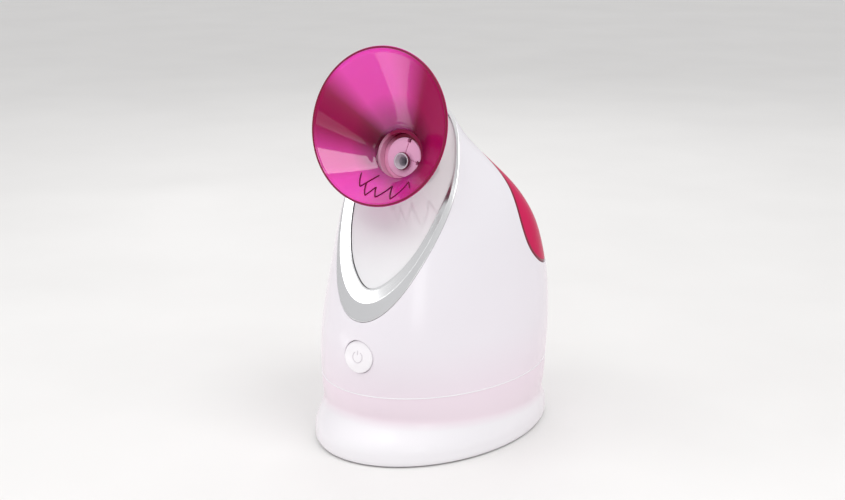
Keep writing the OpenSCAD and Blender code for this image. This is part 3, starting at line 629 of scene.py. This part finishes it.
def sloped_height(tree, slope, wave):
    """Height in the object, plus slope times its Y, plus a little noise."""
    split = tree.nodes.new("ShaderNodeSeparateXYZ")
    tree.links.new(object_place(tree), split.inputs[0])
    leaning = times_plus(tree, split.outputs["Y"], slope, split.outputs["Z"])
    return times_plus(tree, noise(tree, 9), wave, leaning)


def roughen(tree, shader, rough, scale, bump, stretch=(1, 1, 1)):
    """Roughness that varies a little, and a fine bump."""
    vary = 0.06
    fine = noise(tree, scale, 4, stretch)
    varied = spread(tree, fine, 0.3, 0.7, rough * (1 - vary), rough * (1 + vary))
    tree.links.new(varied, shader.inputs["Roughness"])
    node = tree.nodes.new("ShaderNodeBump")
    set_inputs(node, {"Strength": bump, "Distance": 0.0002})
    tree.links.new(noise(tree, scale * 2.5, 2, stretch), node.inputs["Height"])
    tree.links.new(node.outputs[0], shader.inputs["Normal"])


def plastic(name, colour, rough, scale, bump, shade=0.92, coat=0.0, metal=0.0, clear=0.0, ior=1.46,
            stretch=(1, 1, 1)):
    """Moulded plastic, rubber or metal in one colour, mottled with a darker shade of it."""
    material, tree, shader = new_material(name)
    dim = tuple(c * shade for c in colour)
    mottled = ramp(tree, noise(tree, scale * 0.15, 3, stretch), [(0.35, dim), (0.65, colour)])
    tree.links.new(mottled, shader.inputs["Base Color"])
    set_inputs(shader, {"Metallic": metal, "IOR": ior, "Coat Weight": coat, "Coat Roughness": 0.06,
                        "Transmission Weight": clear})
    roughen(tree, shader, rough, scale, bump, stretch)
    return material


def white_with_painted_pink_glow(name, stops, low, high, slope, rough):
    """Glossy white plastic that turns pink lower down, a painted pink glow."""
    material, tree, shader = new_material(name)
    height = spread(tree, sloped_height(tree, slope, 0.006), low, high, 0, 1)
    tree.links.new(ramp(tree, height, stops), shader.inputs["Base Color"])
    set_inputs(shader, {"Coat Weight": 0.35, "Coat Roughness": 0.12, "IOR": 1.5, "Sheen Weight": 0.1,
                        "Sheen Tint": (1.0, 0.55, 0.8, 1)})
    roughen(tree, shader, rough, 220, 0.015)
    return material


def round_nozzle(tree):
    """A node with places measured from the nozzle axis, and one with the share of a turn round it."""
    turned = tree.nodes.new("ShaderNodeMapping")
    turned.vector_type = "TEXTURE"
    lean = atan2(-NOZZLE_OUT[1], NOZZLE_OUT[2])
    set_inputs(turned, {"Location": NOZZLE * MM, "Rotation": (lean, 0, 0)})
    tree.links.new(object_place(tree), turned.inputs["Vector"])
    radial = tree.nodes.new("ShaderNodeTexGradient")
    radial.gradient_type = "RADIAL"
    tree.links.new(turned.outputs[0], radial.inputs["Vector"])
    return turned, radial


def throat_plastic(name, pale, deep, clear):
    """Plastic at the funnel's throat, in its pale colour, with painted shade over its top and right like the
    funnel's.
    """
    material, tree, shader = new_material(name)
    radial = round_nozzle(tree)[1]
    # The deep colour over the top and right is painted shade.
    stops = [(0, pale), (0.26, pale), (0.38, deep), (0.84, deep), (0.96, pale)]
    tint = ramp(tree, radial.outputs["Fac"], stops)
    tree.links.new(tint, shader.inputs["Base Color"])
    set_inputs(shader, {"IOR": 1.25, "Coat Weight": 0.15, "Transmission Weight": clear})
    roughen(tree, shader, 0.1, 60, 0.003)
    return material


def funnel_plastic():
    """Tinted clear plastic with painted shade that darkens it towards the throat, bands of painted highlight and
    painted shade round its wall, and bands of gloss round it too.
    """
    material, tree, shader = new_material("funnel_magenta")
    turned, radial = round_nozzle(tree)
    # deep is painted shade, light is painted highlight, mid is the plastic's own colour.
    deep, mid, light = (0.33, 0.004, 0.08), (0.62, 0.02, 0.31), (0.82, 0.038, 0.48)
    painted_light_bands = ramp(tree, radial.outputs["Fac"], [
        (0, mid), (0.05, mid), (0.1, light), (0.2, light), (0.27, mid), (0.34, mid), (0.45, deep),
        (0.67, deep), (0.71, mid), (0.75, light), (0.84, light), (0.885, deep), (0.95, deep), (1, mid)])
    split = tree.nodes.new("ShaderNodeSeparateXYZ")
    tree.links.new(turned.outputs[0], split.inputs[0])
    # Painted shade: the colour darkens towards the throat.
    depth = ramp(tree, spread(tree, split.outputs["Z"], 0.004, 0.015, 0, 1),
                 [(0, (0.42, 0.36, 0.38)), (1, (1, 1, 1))])
    mix = tree.nodes.new("ShaderNodeMix")
    mix.data_type, mix.blend_type = "RGBA", "MULTIPLY"
    set_inputs(mix, {"Factor": 1})
    tree.links.new(painted_light_bands, mix.inputs["A"])
    tree.links.new(depth, mix.inputs["B"])
    tree.links.new(mix.outputs["Result"], shader.inputs["Base Color"])
    gloss = [(0, 1), (0.28, 1), (0.34, 0.35), (0.44, 0.3), (0.48, 0.03), (0.66, 0.03), (0.73, 0.8), (0.84, 1),
             (0.9, 0.2), (0.94, 0.2), (1, 1)]
    tree.links.new(ramp(tree, radial.outputs["Fac"], [(at, (level,) * 3) for at, level in gloss]),
                   shader.inputs["Coat Weight"])
    set_inputs(shader, {"Coat IOR": 1.65, "Coat Tint": (1.0, 0.85, 1.0, 1), "Coat Roughness": 0.04,
                        "Specular IOR Level": 0, "IOR": 1.5, "Transmission Weight": 0.12,
                        "Subsurface Weight": 0.4, "Subsurface Radius": (1.0, 0.12, 0.5),
                        "Subsurface Scale": 0.003})
    roughen(tree, shader, 0.1, 60, 0.003)
    return material


# The pink low on the casing and on the base's band above its flare is a painted glow; the white and the cream are
# the plastic's own colours.
WHITE, FAINT_PAINTED_PINK_GLOW, PAINTED_PINK_GLOW = (0.82, 0.81, 0.845), (0.82, 0.78, 0.83), (0.84, 0.72, 0.80)
SHELL_STOPS = [(0, PAINTED_PINK_GLOW), (0.3, FAINT_PAINTED_PINK_GLOW), (1, WHITE)]
BASE_STOPS = [(0, (0.87, 0.855, 0.88)), (0.44, (0.86, 0.84, 0.87)), (0.58, (0.84, 0.72, 0.79)), (1, PAINTED_PINK_GLOW)]
# Each plastic() has its colour, roughness, scale of mottling and bump, strength of the bump, darker shade
looks = {
    "shell_white": white_with_painted_pink_glow("shell_white", SHELL_STOPS, 0.03, 0.19, 0.0, 0.22),
    "base_cream": white_with_painted_pink_glow("base_cream", BASE_STOPS, 0.0, 0.044, 0.078, 0.25),
    "panel_white": plastic("panel_white", (0.78, 0.78, 0.79), 0.16, 250, 0.004, 0.985, coat=0.6),
    "satin_silver": plastic("satin_silver", (0.88, 0.88, 0.89), 0.19, 300, 0.001, 0.99, metal=1.0),
    "nozzle_pink": plastic("nozzle_pink", (0.93, 0.46, 0.71), 0.25, 300, 0.01, 0.96, coat=0.4),
    "nozzle_painted_shade": plastic("nozzle_painted_shade", (0.20, 0.03, 0.07), 0.4, 300, 0.01, 0.9),
    "outlet_grey": plastic("outlet_grey", (0.68, 0.63, 0.69), 0.3, 300, 0.04, 0.9, metal=0.1),
    "funnel_magenta": funnel_plastic(),
    "funnel_rim": plastic("funnel_rim", (0.20, 0.003, 0.035), 0.2, 60, 0.003, 0.95, ior=1.35),
    "tooth_crimson": plastic("tooth_crimson", (0.42, 0.002, 0.1), 0.3, 60, 0.003, 0.2, ior=1.2),
    # Both of these carry painted shade over their top and right.
    "collar_clear": throat_plastic("collar_clear", (0.9, 0.48, 0.66), (0.28, 0.002, 0.06), 0.2),
    "neck_painted_shade": throat_plastic("neck_painted_shade", (0.9, 0.40, 0.62), (0.2, 0.004, 0.035), 0),
    "hood_crimson": plastic("hood_crimson", (0.6, 0.02, 0.1), 0.24, 120, 0.004, 0.93, ior=1.1),
    "hood_edge_painted_shade": plastic("hood_edge_painted_shade", (0.22, 0.004, 0.03), 0.3, 120, 0.004, 0.93),
    "seam_painted_highlight": plastic("seam_painted_highlight", (0.92, 0.9, 0.93), 0.2, 120, 0.003, 0.98, coat=0.4),
    "button_sign": plastic("button_sign", (0.66, 0.62, 0.66), 0.3, 200, 0.003, 0.98),
    "button_white": plastic("button_white", (0.9, 0.87, 0.9), 0.2, 300, 0.02, 0.98, coat=0.5),
    "tank_clear": plastic("tank_clear", (0.93, 0.96, 0.98), 0.06, 80, 0.01, 0.97, clear=0.95, ior=1.45),
    "cap_pink": plastic("cap_pink", (0.8, 0.35, 0.5), 0.3, 300, 0.04),
    "seal_rubber": plastic("seal_rubber", (0.35, 0.35, 0.36), 0.6, 600, 0.2, 0.85),
    "hose_silicone": plastic("hose_silicone", (0.8, 0.8, 0.78), 0.4, 400, 0.06, clear=0.3),
    "foot_rubber": plastic("foot_rubber", (0.09, 0.09, 0.1), 0.7, 700, 0.3, 0.8),
    "inner_plastic": plastic("inner_plastic", (0.78, 0.78, 0.79), 0.42, 500, 0.1),
    "dark_plastic": plastic("dark_plastic", (0.05, 0.05, 0.055), 0.4, 500, 0.1, 0.8),
    "boiler_metal": plastic("boiler_metal", (0.72, 0.72, 0.74), 0.34, 500, 0.1, metal=1.0,
                            stretch=(1, 1, 0.1)),
    "steel": plastic("steel", (0.6, 0.6, 0.62), 0.28, 700, 0.1, 0.85, metal=1.0),
    "heater_ceramic": plastic("heater_ceramic", (0.42, 0.42, 0.44), 0.6, 500, 0.2),
    "board_green": plastic("board_green", (0.03, 0.2, 0.08), 0.35, 900, 0.1, 0.7, coat=0.3),
    "relay_blue": plastic("relay_blue", (0.04, 0.12, 0.4), 0.4, 500, 0.1),
    "capacitor_red": plastic("capacitor_red", (0.5, 0.06, 0.04), 0.4, 500, 0.1),
    "transformer_yellow": plastic("transformer_yellow", (0.65, 0.45, 0.05), 0.5, 500, 0.1),
    "terminal_cream": plastic("terminal_cream", (0.75, 0.72, 0.6), 0.45, 500, 0.1),
    "led_clear": plastic("led_clear", (0.8, 0.9, 1.0), 0.1, 200, 0.02, clear=0.8),
}


# ---------------------------------------------------------------- outer pieces

def make_casing():
    seam = casing.at(np.linspace(0, 2 * pi, 721)[:-1], np.full(720, SEAM_Z))
    face = at_height(outer_edge(-RING_SEAT, 600), -RING_SEAT)
    cuts = [along(face, EDGE_STEP, closed=True), hood_seam(EDGE_STEP), button_hole(BUTTON_R + BUTTON_GAP)]
    # Rounds of the seam's edge and of the cuts' edges
    rounds = [0.1, 0.12, 0.5, 0.45]
    skin = shell(casing, along(seam, SEAM_STEP, closed=True), cuts, rounds, GRID_STEP, 0, CASING_WALL)
    make("casing_shell", skin, "base", "shell_white", ["upper_housing"])


def make_hood():
    loop = hood_seam(EDGE_STEP)
    edge = casing.point(casing.flatten(loop + HOOD_GAP * inward_of(casing, loop, True)))
    skin = shell(casing, edge, [], [HOOD_ROUND], GRID_STEP, HOOD_INSET, HOOD_WALL)
    hood = make("rear_hood", skin, "tank", "hood_crimson", ["tank_hood"])

    # Painted shade: a dark band along the hood's edge, in place of the shade in the groove there.
    def by_edge(points):
        gap = np.array([np.min(np.sum((loop - p)**2, 1)) for p in points])
        return gap < HOOD_PAINTED_SHADE_WIDTH**2
    paint(hood, looks["hood_edge_painted_shade"], by_edge)


def base_rings(inset):
    """Rings up the base from its lower edge to the seam, all moved in by inset."""
    angle = turns(BASE_SIDES)

    def upright(z, less):
        r = less + inset
        return egg(angle, BASE_W - r, -BASE_L + r, BASE_L - r, 0, z)

    def between(low, high, u, share):
        ring = low + (high - low) * share
        ring[:, 2] = low[:, 2] + (high[:, 2] - low[:, 2]) * u
        return ring
    foot = upright(FLARE_Z, 0)
    cove = egg(angle, COVE["half"] - inset, COVE["front"] + inset, COVE["back"] - inset, COVE["mid"], 0)
    cove[:, 2] = COVE["z"] + COVE["fall"] * cove[:, 1]
    top = casing.at(angle, np.full(BASE_SIDES, SEAM_Z))
    top[:, :2] += (SEAM_MID[:2] - top[:, :2]) * inset / SEAM_MEAN_R
    top[:, 2] = SEAM_Z - SEAM_DROP
    rings = [upright(SKIRT_LIFT + FOOT_RISE * (1 - cos(t)), FOOT_IN * (1 - sin(t)))
             for t in np.linspace(0, pi / 2, 7)]
    rings += [between(foot, cove, u, u * u * (3 - 2 * u)) for u in np.linspace(0, 1, 25)]
    rings += [between(cove, top, u, 1 - (1 - u)**2) for u in np.linspace(0, 1, 21)[1:]]
    rings = np.array(rings)
    # Soften everything above the lower edge's round
    for _ in range(3):
        rings[8:-2] = (rings[7:-3] + 2 * rings[8:-2] + rings[9:-1]) / 4
    return rings


def make_base():
    outer, inner = base_rings(0), base_rings(CASING_WALL)
    # The top edge falls back to a lip a little further in
    lip_in, lip_drop = 0.006, 0.35
    lip = outer[-1] + (outer[-1] - SEAM_MID) * [-lip_in, -lip_in, 0]
    outer[-1, :, 2] -= lip_drop
    skin = loft([*outer, lip, *inner[::-2]], True)
    line = casing.at(turns(BASE_SIDES), np.full(BASE_SIDES, SEAM_Z - SEAM_DROP))
    away = unit((line - SEAM_MID) * [1, 1, 0])
    seam = loft([line + SEAM_BEAD * (cos(t) * away + [0, 0, sin(t)]) for t in turns(8)], True)
    skirt = make("base_skirt_shell", skin, "base", "base_cream", ["base_skirt"], also=[seam])
    # The bead along the seam is coloured lighter than the base, a painted highlight.
    paint(skirt, looks["seam_painted_highlight"], lambda points: np.arange(len(points)) >= len(skin[0]))


def inset_loop(edge, m):
    """A closed line on the face, moved in by about m."""
    low, high = edge[:, 1].min(), edge[:, 1].max()
    mid = (low + high) / 2
    return np.stack([edge[:, 0] * (1 - m / FACE_HALF),
                     mid + (edge[:, 1] - mid) * (1 - m / (high - mid))], -1)


def make_trim_ring():
    count = 320
    outer, ridge, inner = outer_edge(0, count), oval_edge(RIDGE_EDGE, count), oval_edge(INNER_EDGE, count)
    rim = oval_edge(INNER_EDGE, count, -1)
    side, bevel, foot = (inset_loop(outer, inset) for inset in (0.08, 0.18, 0.35))

    def mixed(a, b, t, d_a, d_b):
        return at_height(a + (b - a) * t, d_a + (d_b - d_a) * t)
    rings = [at_height(side, -RING_SEAT), at_height(side, 0), at_height(bevel, 0.14)]
    rings += [mixed(foot, ridge, t, 0.25, RIDGE_H) for t in (0, 0.15, 0.4, 0.7, 0.93, 0.975)]
    rings += [mixed(ridge, inner, t, RIDGE_H - 0.03, 0.2) for t in (0.015, 0.05, 0.1, 0.4, 0.8, 0.95)]
    rings += [at_height(inner, d) for d in (0.05, RING_BACK / 2, RING_BACK)]
    rings += [at_height(rim, d) for d in (RING_BACK, -RING_SEAT)]
    make("face_trim_ring", loft(rings, True), "base", "satin_silver", ["trim_ring"], sharp=30)


class Panel:
    """The crowned front panel, in the plane of the face."""

    def crown(self, plan):
        """How far the front stands out of the face, from k: the scale at which the outline meets a point."""
        low, high = np.full(len(plan), 0.001), np.full(len(plan), 1.4)
        for _ in range(26):
            k = (low + high) / 2
            s = (plan[:, 1] - PANEL_MID) / k + PANEL_MID
            a, b = INNER_EDGE[0, 0] + PANEL_GAP, INNER_EDGE[-1, 0] - PANEL_GAP
            c = np.clip(((a + b) / 2 - s) / ((b - a) / 2), -1, 1)
            wide = (hermite(INNER_EDGE, 1, np.clip(s, a, b)) - PANEL_GAP) * np.sqrt(1 - c * c)
            out = (np.abs(plan[:, 0]) / k > wide) | (s < a) | (s > b)
            low, high = np.where(out, k, low), np.where(out, high, k)
        return -PANEL_SINK + PANEL_CROWN * (1 - np.minimum(k, 1)**2)

    def point(self, plan):
        return on_face(np.column_stack([plan, self.crown(plan)]))

    def normal(self, plan):
        e = 0.4
        right = self.point(plan + [e, 0]) - self.point(plan - [e, 0])
        up = self.point(plan + [0, e]) - self.point(plan - [0, e])
        return unit(np.cross(right, up))

    def flatten(self, points):
        return np.stack([points[:, 0], (points - FACE_AT) @ FACE_UP], -1)

    def grid(self, spacing):
        x = np.arange(-40, 40, spacing)
        s = np.arange(15, 150, spacing * 0.87)
        return np.array([[a + spacing / 2 * (i % 2), b] for i, b in enumerate(s) for a in x])


def make_panel():
    panel = Panel()
    edge = along(panel.point(oval_edge(INNER_EDGE, 400, PANEL_GAP + 0.05)), 1.2, closed=True)
    ring = circle(PANEL_HOLE_R, 0.0, 120)
    for _ in range(8):
        p = place(ring, NOZZLE, NOZZLE_OUT)
        miss = (panel.point(panel.flatten(p)) - p) @ FACE_OUT
        ring[:, 2] += miss / (NOZZLE_OUT @ FACE_OUT)
    hole = place(ring, NOZZLE, NOZZLE_OUT)
    skin = shell(panel, edge, [hole], [0.35, 0.3], 2.2, 0, PANEL_WALL)
    make("front_panel_plate", skin, "base", "panel_white", ["front_panel"])


# ---------------------------------------------------------------- nozzle and funnel

def out_along(points):
    """How far out along the nozzle axis points lie."""
    return (points - NOZZLE) @ NOZZLE_OUT


def bell(u):
    """Distance out, rise and inner radius of the funnel at a share of the way from throat to rim."""
    return np.array([THROAT["out"] + (RIM["out"] - THROAT["out"]) * u,
                     THROAT["up"] + (RIM["up"] - THROAT["up"]) * u,
                     THROAT["r"] + (RIM["r"] - THROAT["r"]) * u**BULGE_POWER - FUNNEL_WALL])


def funnel_line():
    """Distance out, rise and inner radius of the funnel's rings, from its socket to its rim."""
    socket = [[0.4, 0, SOCKET_R], [2, 0, SOCKET_R], [4, 2.4, COLLAR_R - 0.3]]
    return rounded_line(socket + [bell(u) for u in (0, 0.12, 0.26, 0.42, 0.6, 0.8, 1)], 6)


def ring_at(out, up, radius):
    return place(circle(radius, out, 224, up), NOZZLE, NOZZLE_OUT)


def make_funnel():
    line = funnel_line()
    inner = [ring_at(o, u, r) for o, u, r in line[:-1]]
    outer = [ring_at(o, u, r + FUNNEL_WALL) for o, u, r in line[:-1]]
    out, up, r = line[-1]
    lip = [ring_at(out - FUNNEL_WALL / 2 * (1 - sin(t)), up, r + FUNNEL_WALL / 2 * (1 - cos(t)))
           for t in np.linspace(0.1, pi - 0.1, 9)]
    skin = loft(inner + lip + outer[::-1], True)
    bell_piece = make("funnel_bell", skin, "funnel", "funnel_magenta", ["steam_funnel"])
    bell_piece.visible_glossy = False
    paint(bell_piece, looks["funnel_rim"], lambda points: out_along(points) > out - FUNNEL_WALL / 4)


def wall_point(u, angle):
    """A point just off the funnel's inner wall, as across, up and out."""
    out, up, r = bell(u)
    return [(r - TOOTH_LIFT) * cos(angle), up + (r - TOOTH_LIFT) * sin(angle), out]


def make_drip_teeth():
    parts = []
    for row in TEETH:
        for p, q in zip(np.array(row, float), np.array(row[1:], float)):
            wall = [wall_point(u, radians(a)) for u, a in np.linspace(p, q, 16)]
            parts.append(bead(place(wall, NOZZLE, NOZZLE_OUT), TOOTH_R))
    teeth = make("funnel_drip_teeth", parts[0], "funnel", "funnel_magenta", ["drip_teeth"],
                 look="tooth_crimson", also=parts[1:])
    teeth.visible_shadow = False


def make_nozzle():
    bore, flange_front = 12.5, -19.5
    neck = rounded_profile([(bore, NECK_BACK), (NECK_FLANGE_R, NECK_BACK), (NECK_FLANGE_R, flange_front),
                            (NECK_R, flange_front), (NECK_R, MOUTH_OUT), (bore, MOUTH_OUT)],
                           [0, 0.3, 0.3, 0.2, 0.5, 0.3])
    skin = lathe(neck, NOZZLE, NOZZLE_OUT)
    tube = make("nozzle_neck_tube", skin, "base", "nozzle_pink", ["nozzle_neck"])
    # The neck's front, seen through the collar, gets painted shade over its top and right.
    paint(tube, looks["neck_painted_shade"], lambda points: out_along(points) > COLLAR_BACK)
    bore = NECK_R + 0.05
    collar = rounded_profile([(bore, COLLAR_BACK), (COLLAR_R, COLLAR_BACK), (COLLAR_R, COLLAR_FRONT),
                              (bore, COLLAR_FRONT)], [0.3, 0.3, 0.4, 0.4])
    skin = lathe(collar, NOZZLE, NOZZLE_OUT)
    # The collar's look carries painted shade over its top and right.
    make("funnel_collar_ring", skin, "funnel", "collar_clear", ["funnel_collar"])


def make_outlet():
    """Tube that ends in a short cone, on the plate that holds it in the neck."""
    bore, tube_r, cone_r, tip_r, mouth_r, cone_back = 3, 4.55, 5.75, 5.25, 4.4, TIP_OUT - 1.4
    mouth_back = TIP_OUT - 2.6
    outlet = rounded_profile([(bore, OUTLET_BACK), (tube_r, OUTLET_BACK), (tube_r, cone_back),
                              (cone_r, cone_back), (tip_r, TIP_OUT), (mouth_r, TIP_OUT), (bore, mouth_back)],
                             [0.2, 0.2, 0.1, 0.25, 0.2, 0.15, 0.2])
    hole, plate_r, plate_front = 8, 12.45, -17.4
    plate = rounded_profile([(hole, OUTLET_BACK), (plate_r, OUTLET_BACK), (plate_r, plate_front),
                             (hole, plate_front)], [0, 0.2, 0.2, 0])
    pipe = make("steam_outlet", lathe(outlet, OUTLET, NOZZLE_OUT), "base", "outlet_grey", ["outlet_tube"],
                also=[lathe(plate, NOZZLE, NOZZLE_OUT)])

    def round_side(points):
        away = points - OUTLET
        out = away @ NOZZLE_OUT
        r = np.linalg.norm(away - out[:, None] * NOZZLE_OUT, axis=1)
        return (out > TIP_OUT - 1.6) & (r > 5.1) & (r < 6)
    # Painted shade: a dark ring round the side of the outlet's cone.
    paint(pipe, looks["nozzle_painted_shade"], round_side)


def make_nozzle_face():
    """Pink disc with two drain notches at its edge, a seam from each, and a low hole for the outlet."""
    sides, rim_r, bore, edge_round = 288, 12.35, 4.75, 0.3
    notch_r, notch_half, notch_deep, seam_half, seam_deep = 9.9, 1.15, 1.9, 0.2, 0.36
    angle = turns(sides)
    drop = (NOZZLE - OUTLET) @ NOZZLE_UP
    rings = []
    for r in np.r_[np.arange(bore, rim_r - 0.4, 0.2), rim_r - edge_round, rim_r - 0.12, rim_r - 0.02, rim_r]:
        # The rings' middles move from the outlet's axis out to the nozzle's
        inward = 1 - np.clip((r - bore) / (notch_r - 0.4 - bore), 0, 1)
        x, y = r * np.cos(angle), r * np.sin(angle) - drop * inward
        edge = min(rim_r - r, r - bore)
        h = np.full(sides, DISC_OUT - max(0, edge_round - edge)**2 / edge_round)
        for a in np.radians(NOTCH_ANGLES):
            along_it = x * cos(a) + y * sin(a)
            across = np.where(along_it > 0, np.abs(y * cos(a) - x * sin(a)), np.inf)
            h = np.where((across < notch_half) & (r > notch_r), DISC_OUT - notch_deep, h)
            h = np.where((across < seam_half) & (r <= notch_r), DISC_OUT - seam_deep, h)
        rings.append(place(np.stack([x, y, h], -1), NOZZLE, NOZZLE_OUT))
    for r, low in ((rim_r, 0), (bore, drop)):
        rings.append(place(circle(r, DISC_OUT - 2, sides, -low), NOZZLE, NOZZLE_OUT))
    disc = make("nozzle_face_disc", loft(rings, True), "base", "nozzle_pink", ["nozzle_face"])
    # Painted shade in the notches, in the seams and round the disc's side and back.
    paint(disc, looks["nozzle_painted_shade"], lambda points: out_along(points) < DISC_OUT - 0.35)


# ---------------------------------------------------------------- button and other small pieces

def dome(r):
    """Distance out of the button's front at a radius."""
    k = r / (BUTTON_R - BUTTON_ROUND)
    return -BUTTON_ROUND + BUTTON_DOME * (1 - k * k)


def make_button():
    """Domed cap with a stem behind it and a raised power sign on it."""
    hub, back, flat_r, shoulder = 0.02, -8, BUTTON_R - BUTTON_ROUND, -2 * BUTTON_ROUND
    profile = [(hub, back), (BUTTON_R, back), (BUTTON_R, shoulder)]
    profile += [(flat_r + BUTTON_ROUND * cos(t), shoulder + BUTTON_ROUND * sin(t))
                for t in np.linspace(0, pi / 2, 8)[1:]]
    profile += [(r, dome(r)) for r in np.linspace(flat_r, hub, 24)[1:]]
    skin = lathe(profile, BUTTON, BUTTON_OUT, round_again=False)
    stem_r, stem_back, stem_front = 2.5, -12, -7.5
    stem = lathe([(hub, stem_back), (stem_r, stem_back), (stem_r, stem_front), (hub, stem_front)],
                 BUTTON, BUTTON_OUT, 48, False)
    sign_r, bar_ends, sunk, line_r = 3.4, (1.2, 4.2), 0.1, 0.34
    arc = [(sign_r * sin(t), sign_r * cos(t), dome(sign_r) - sunk)
           for t in np.linspace(radians(32), radians(328), 48)]
    bar = [(0, up, dome(up) - sunk) for up in np.linspace(*bar_ends, 8)]
    signs = [bead(place(line, BUTTON, BUTTON_OUT), line_r) for line in (arc, bar)]
    cap = make("power_button_cap", skin, "button", "button_white", ["power_button"], also=[stem, *signs])
    first = len(skin[0]) + len(stem[0])
    paint(cap, looks["button_sign"], lambda points: np.arange(len(points)) >= first)


def make_bush():
    """Bush for the mains lead, on a level axis through the back of the base."""
    bore, flange_r, shank_r, tip_r = 3.4, 8, 5.95, 5.3
    inside_y, flange_y, shank_y, end_y = 80, 83, 88, 92
    profile = rounded_profile([(bore, inside_y), (flange_r, inside_y), (flange_r, flange_y),
                               (shank_r, flange_y), (shank_r, shank_y), (tip_r, end_y), (bore, end_y)],
                              [0.3, 0.5, 0.3, 0.2, 0.5, 0.7, 0.5])
    at = np.array([0, 0, box_mm("cord_gland")[0][2] + flange_r])
    skin = lathe(profile, at, [0, 1, 0], 64)
    make("cord_bush", skin, "base", "dark_plastic", ["cord_gland"], look="foot_rubber")


def finish_cad_nodes():
    """Gives every CAD node that stays the look of its slot in the record."""
    slots = {row["node"]: row["material_slot"] for row in frame["record"]["subparts"]}
    for name, node in frame["nodes"].items():
        look = looks[slots.get(name, "inner_plastic")]
        if not node.data.materials:
            node.data.materials.append(look)
        for i in range(len(node.material_slots)):
            node.material_slots[i].link = "OBJECT"
            node.material_slots[i].material = look


# ---------------------------------------------------------------- studio

def area_light(name, at, target, size, power, glossy=True):
    """A rectangular light aimed at a point. With glossy off it doesn't show in reflections."""
    data = bpy.data.lights.new(name, "AREA")
    data.energy, data.shape = power, "RECTANGLE"
    data.size, data.size_y = size
    lamp = bpy.data.objects.new(name, data)
    lamp.visible_glossy = glossy
    lamp.visible_camera = False
    lamp.location = at
    lamp.rotation_euler = (Vector(target) - Vector(at)).to_track_quat("-Z", "Y").to_euler()
    bpy.context.scene.collection.objects.link(lamp)


def make_sky():
    world = bpy.data.worlds.new("studio")
    world.use_nodes = True
    tree = world.node_tree
    at = tree.nodes.new("ShaderNodeTexCoord")
    split = tree.nodes.new("ShaderNodeSeparateXYZ")
    tree.links.new(at.outputs["Generated"], split.inputs[0])
    stops = [(0, (0.74, 0.74, 0.75)), (0.45, (0.8, 0.8, 0.81)), (0.8, (1, 1, 1))]
    tree.links.new(ramp(tree, split.outputs["Z"], stops), tree.nodes["Background"].inputs["Color"])
    set_inputs(tree.nodes["Background"], {"Strength": 0.82})
    bpy.context.scene.world = world


def make_lights():
    middle, card = (0, 0, 0.13), (-0.275, -0.265, 0.004)
    area_light("key", (0.71, -0.23, 1.14), middle, (0.7, 0.7), 5.0)
    area_light("strip", (-0.25, -0.64, 0.95), middle, (1.2, 0.35), 2.3)
    area_light("fill", (-0.8, -0.9, 0.4), middle, (0.9, 0.9), 1.9, glossy=False)
    area_light("side", (1.0, -0.84, 0.3), middle, (0.3, 0.3), 0.48)
    area_light("card", card, (card[0], card[1], 1), (0.25, 0.15), 0.14)
    area_light("edge", (-0.64, 0.48, 0.22), (0, -0.07, 0.2), (0.05, 0.28), 0.06)
    area_light("back", (-0.5, 0.9, 0.9), middle, (0.6, 0.6), 2.4, glossy=False)


def make_floor():
    material, tree, shader = new_material("floor")
    pale = ramp(tree, noise(tree, 6), [(0.3, (0.80, 0.79, 0.78)), (0.7, (0.83, 0.82, 0.81))])
    tree.links.new(pale, shader.inputs["Base Color"])
    set_inputs(shader, {"Roughness": 0.6})
    radius, sides = 4, 96
    mesh = bpy.data.meshes.new("floor")
    mesh.from_pydata([(radius * cos(a), radius * sin(a), 0) for a in turns(sides)], [], [tuple(range(sides))])
    mesh.materials.append(material)
    floor = bpy.data.objects.new("floor", mesh)
    bpy.context.scene.collection.objects.link(floor)


def make_camera():
    """Camera to the front right and a little above, aimed at the middle of the object."""
    data = bpy.data.cameras.new("camera")
    data.lens, data.sensor_width = 65.5, 36
    data.shift_x, data.shift_y = -0.0123, -0.0153
    camera = bpy.data.objects.new("camera", data)
    turn, lift, distance, aim = radians(31.58), radians(14.09), 1.0, Vector((0, 0, 0.125))
    back = Vector((sin(turn) * cos(lift), -cos(turn) * cos(lift), sin(lift)))
    camera.location = aim + back * distance
    camera.rotation_euler = (-back).to_track_quat("-Z", "Y").to_euler()
    bpy.context.scene.collection.objects.link(camera)
    bpy.context.scene.camera = camera


bpy.context.scene.view_settings.view_transform = "Standard"
make_camera()
make_sky()
make_lights()
make_floor()
finish_cad_nodes()
make_casing()
make_hood()
make_base()
make_trim_ring()
make_panel()
make_funnel()
make_drip_teeth()
make_nozzle()
make_outlet()
make_nozzle_face()
make_button()
make_bush()
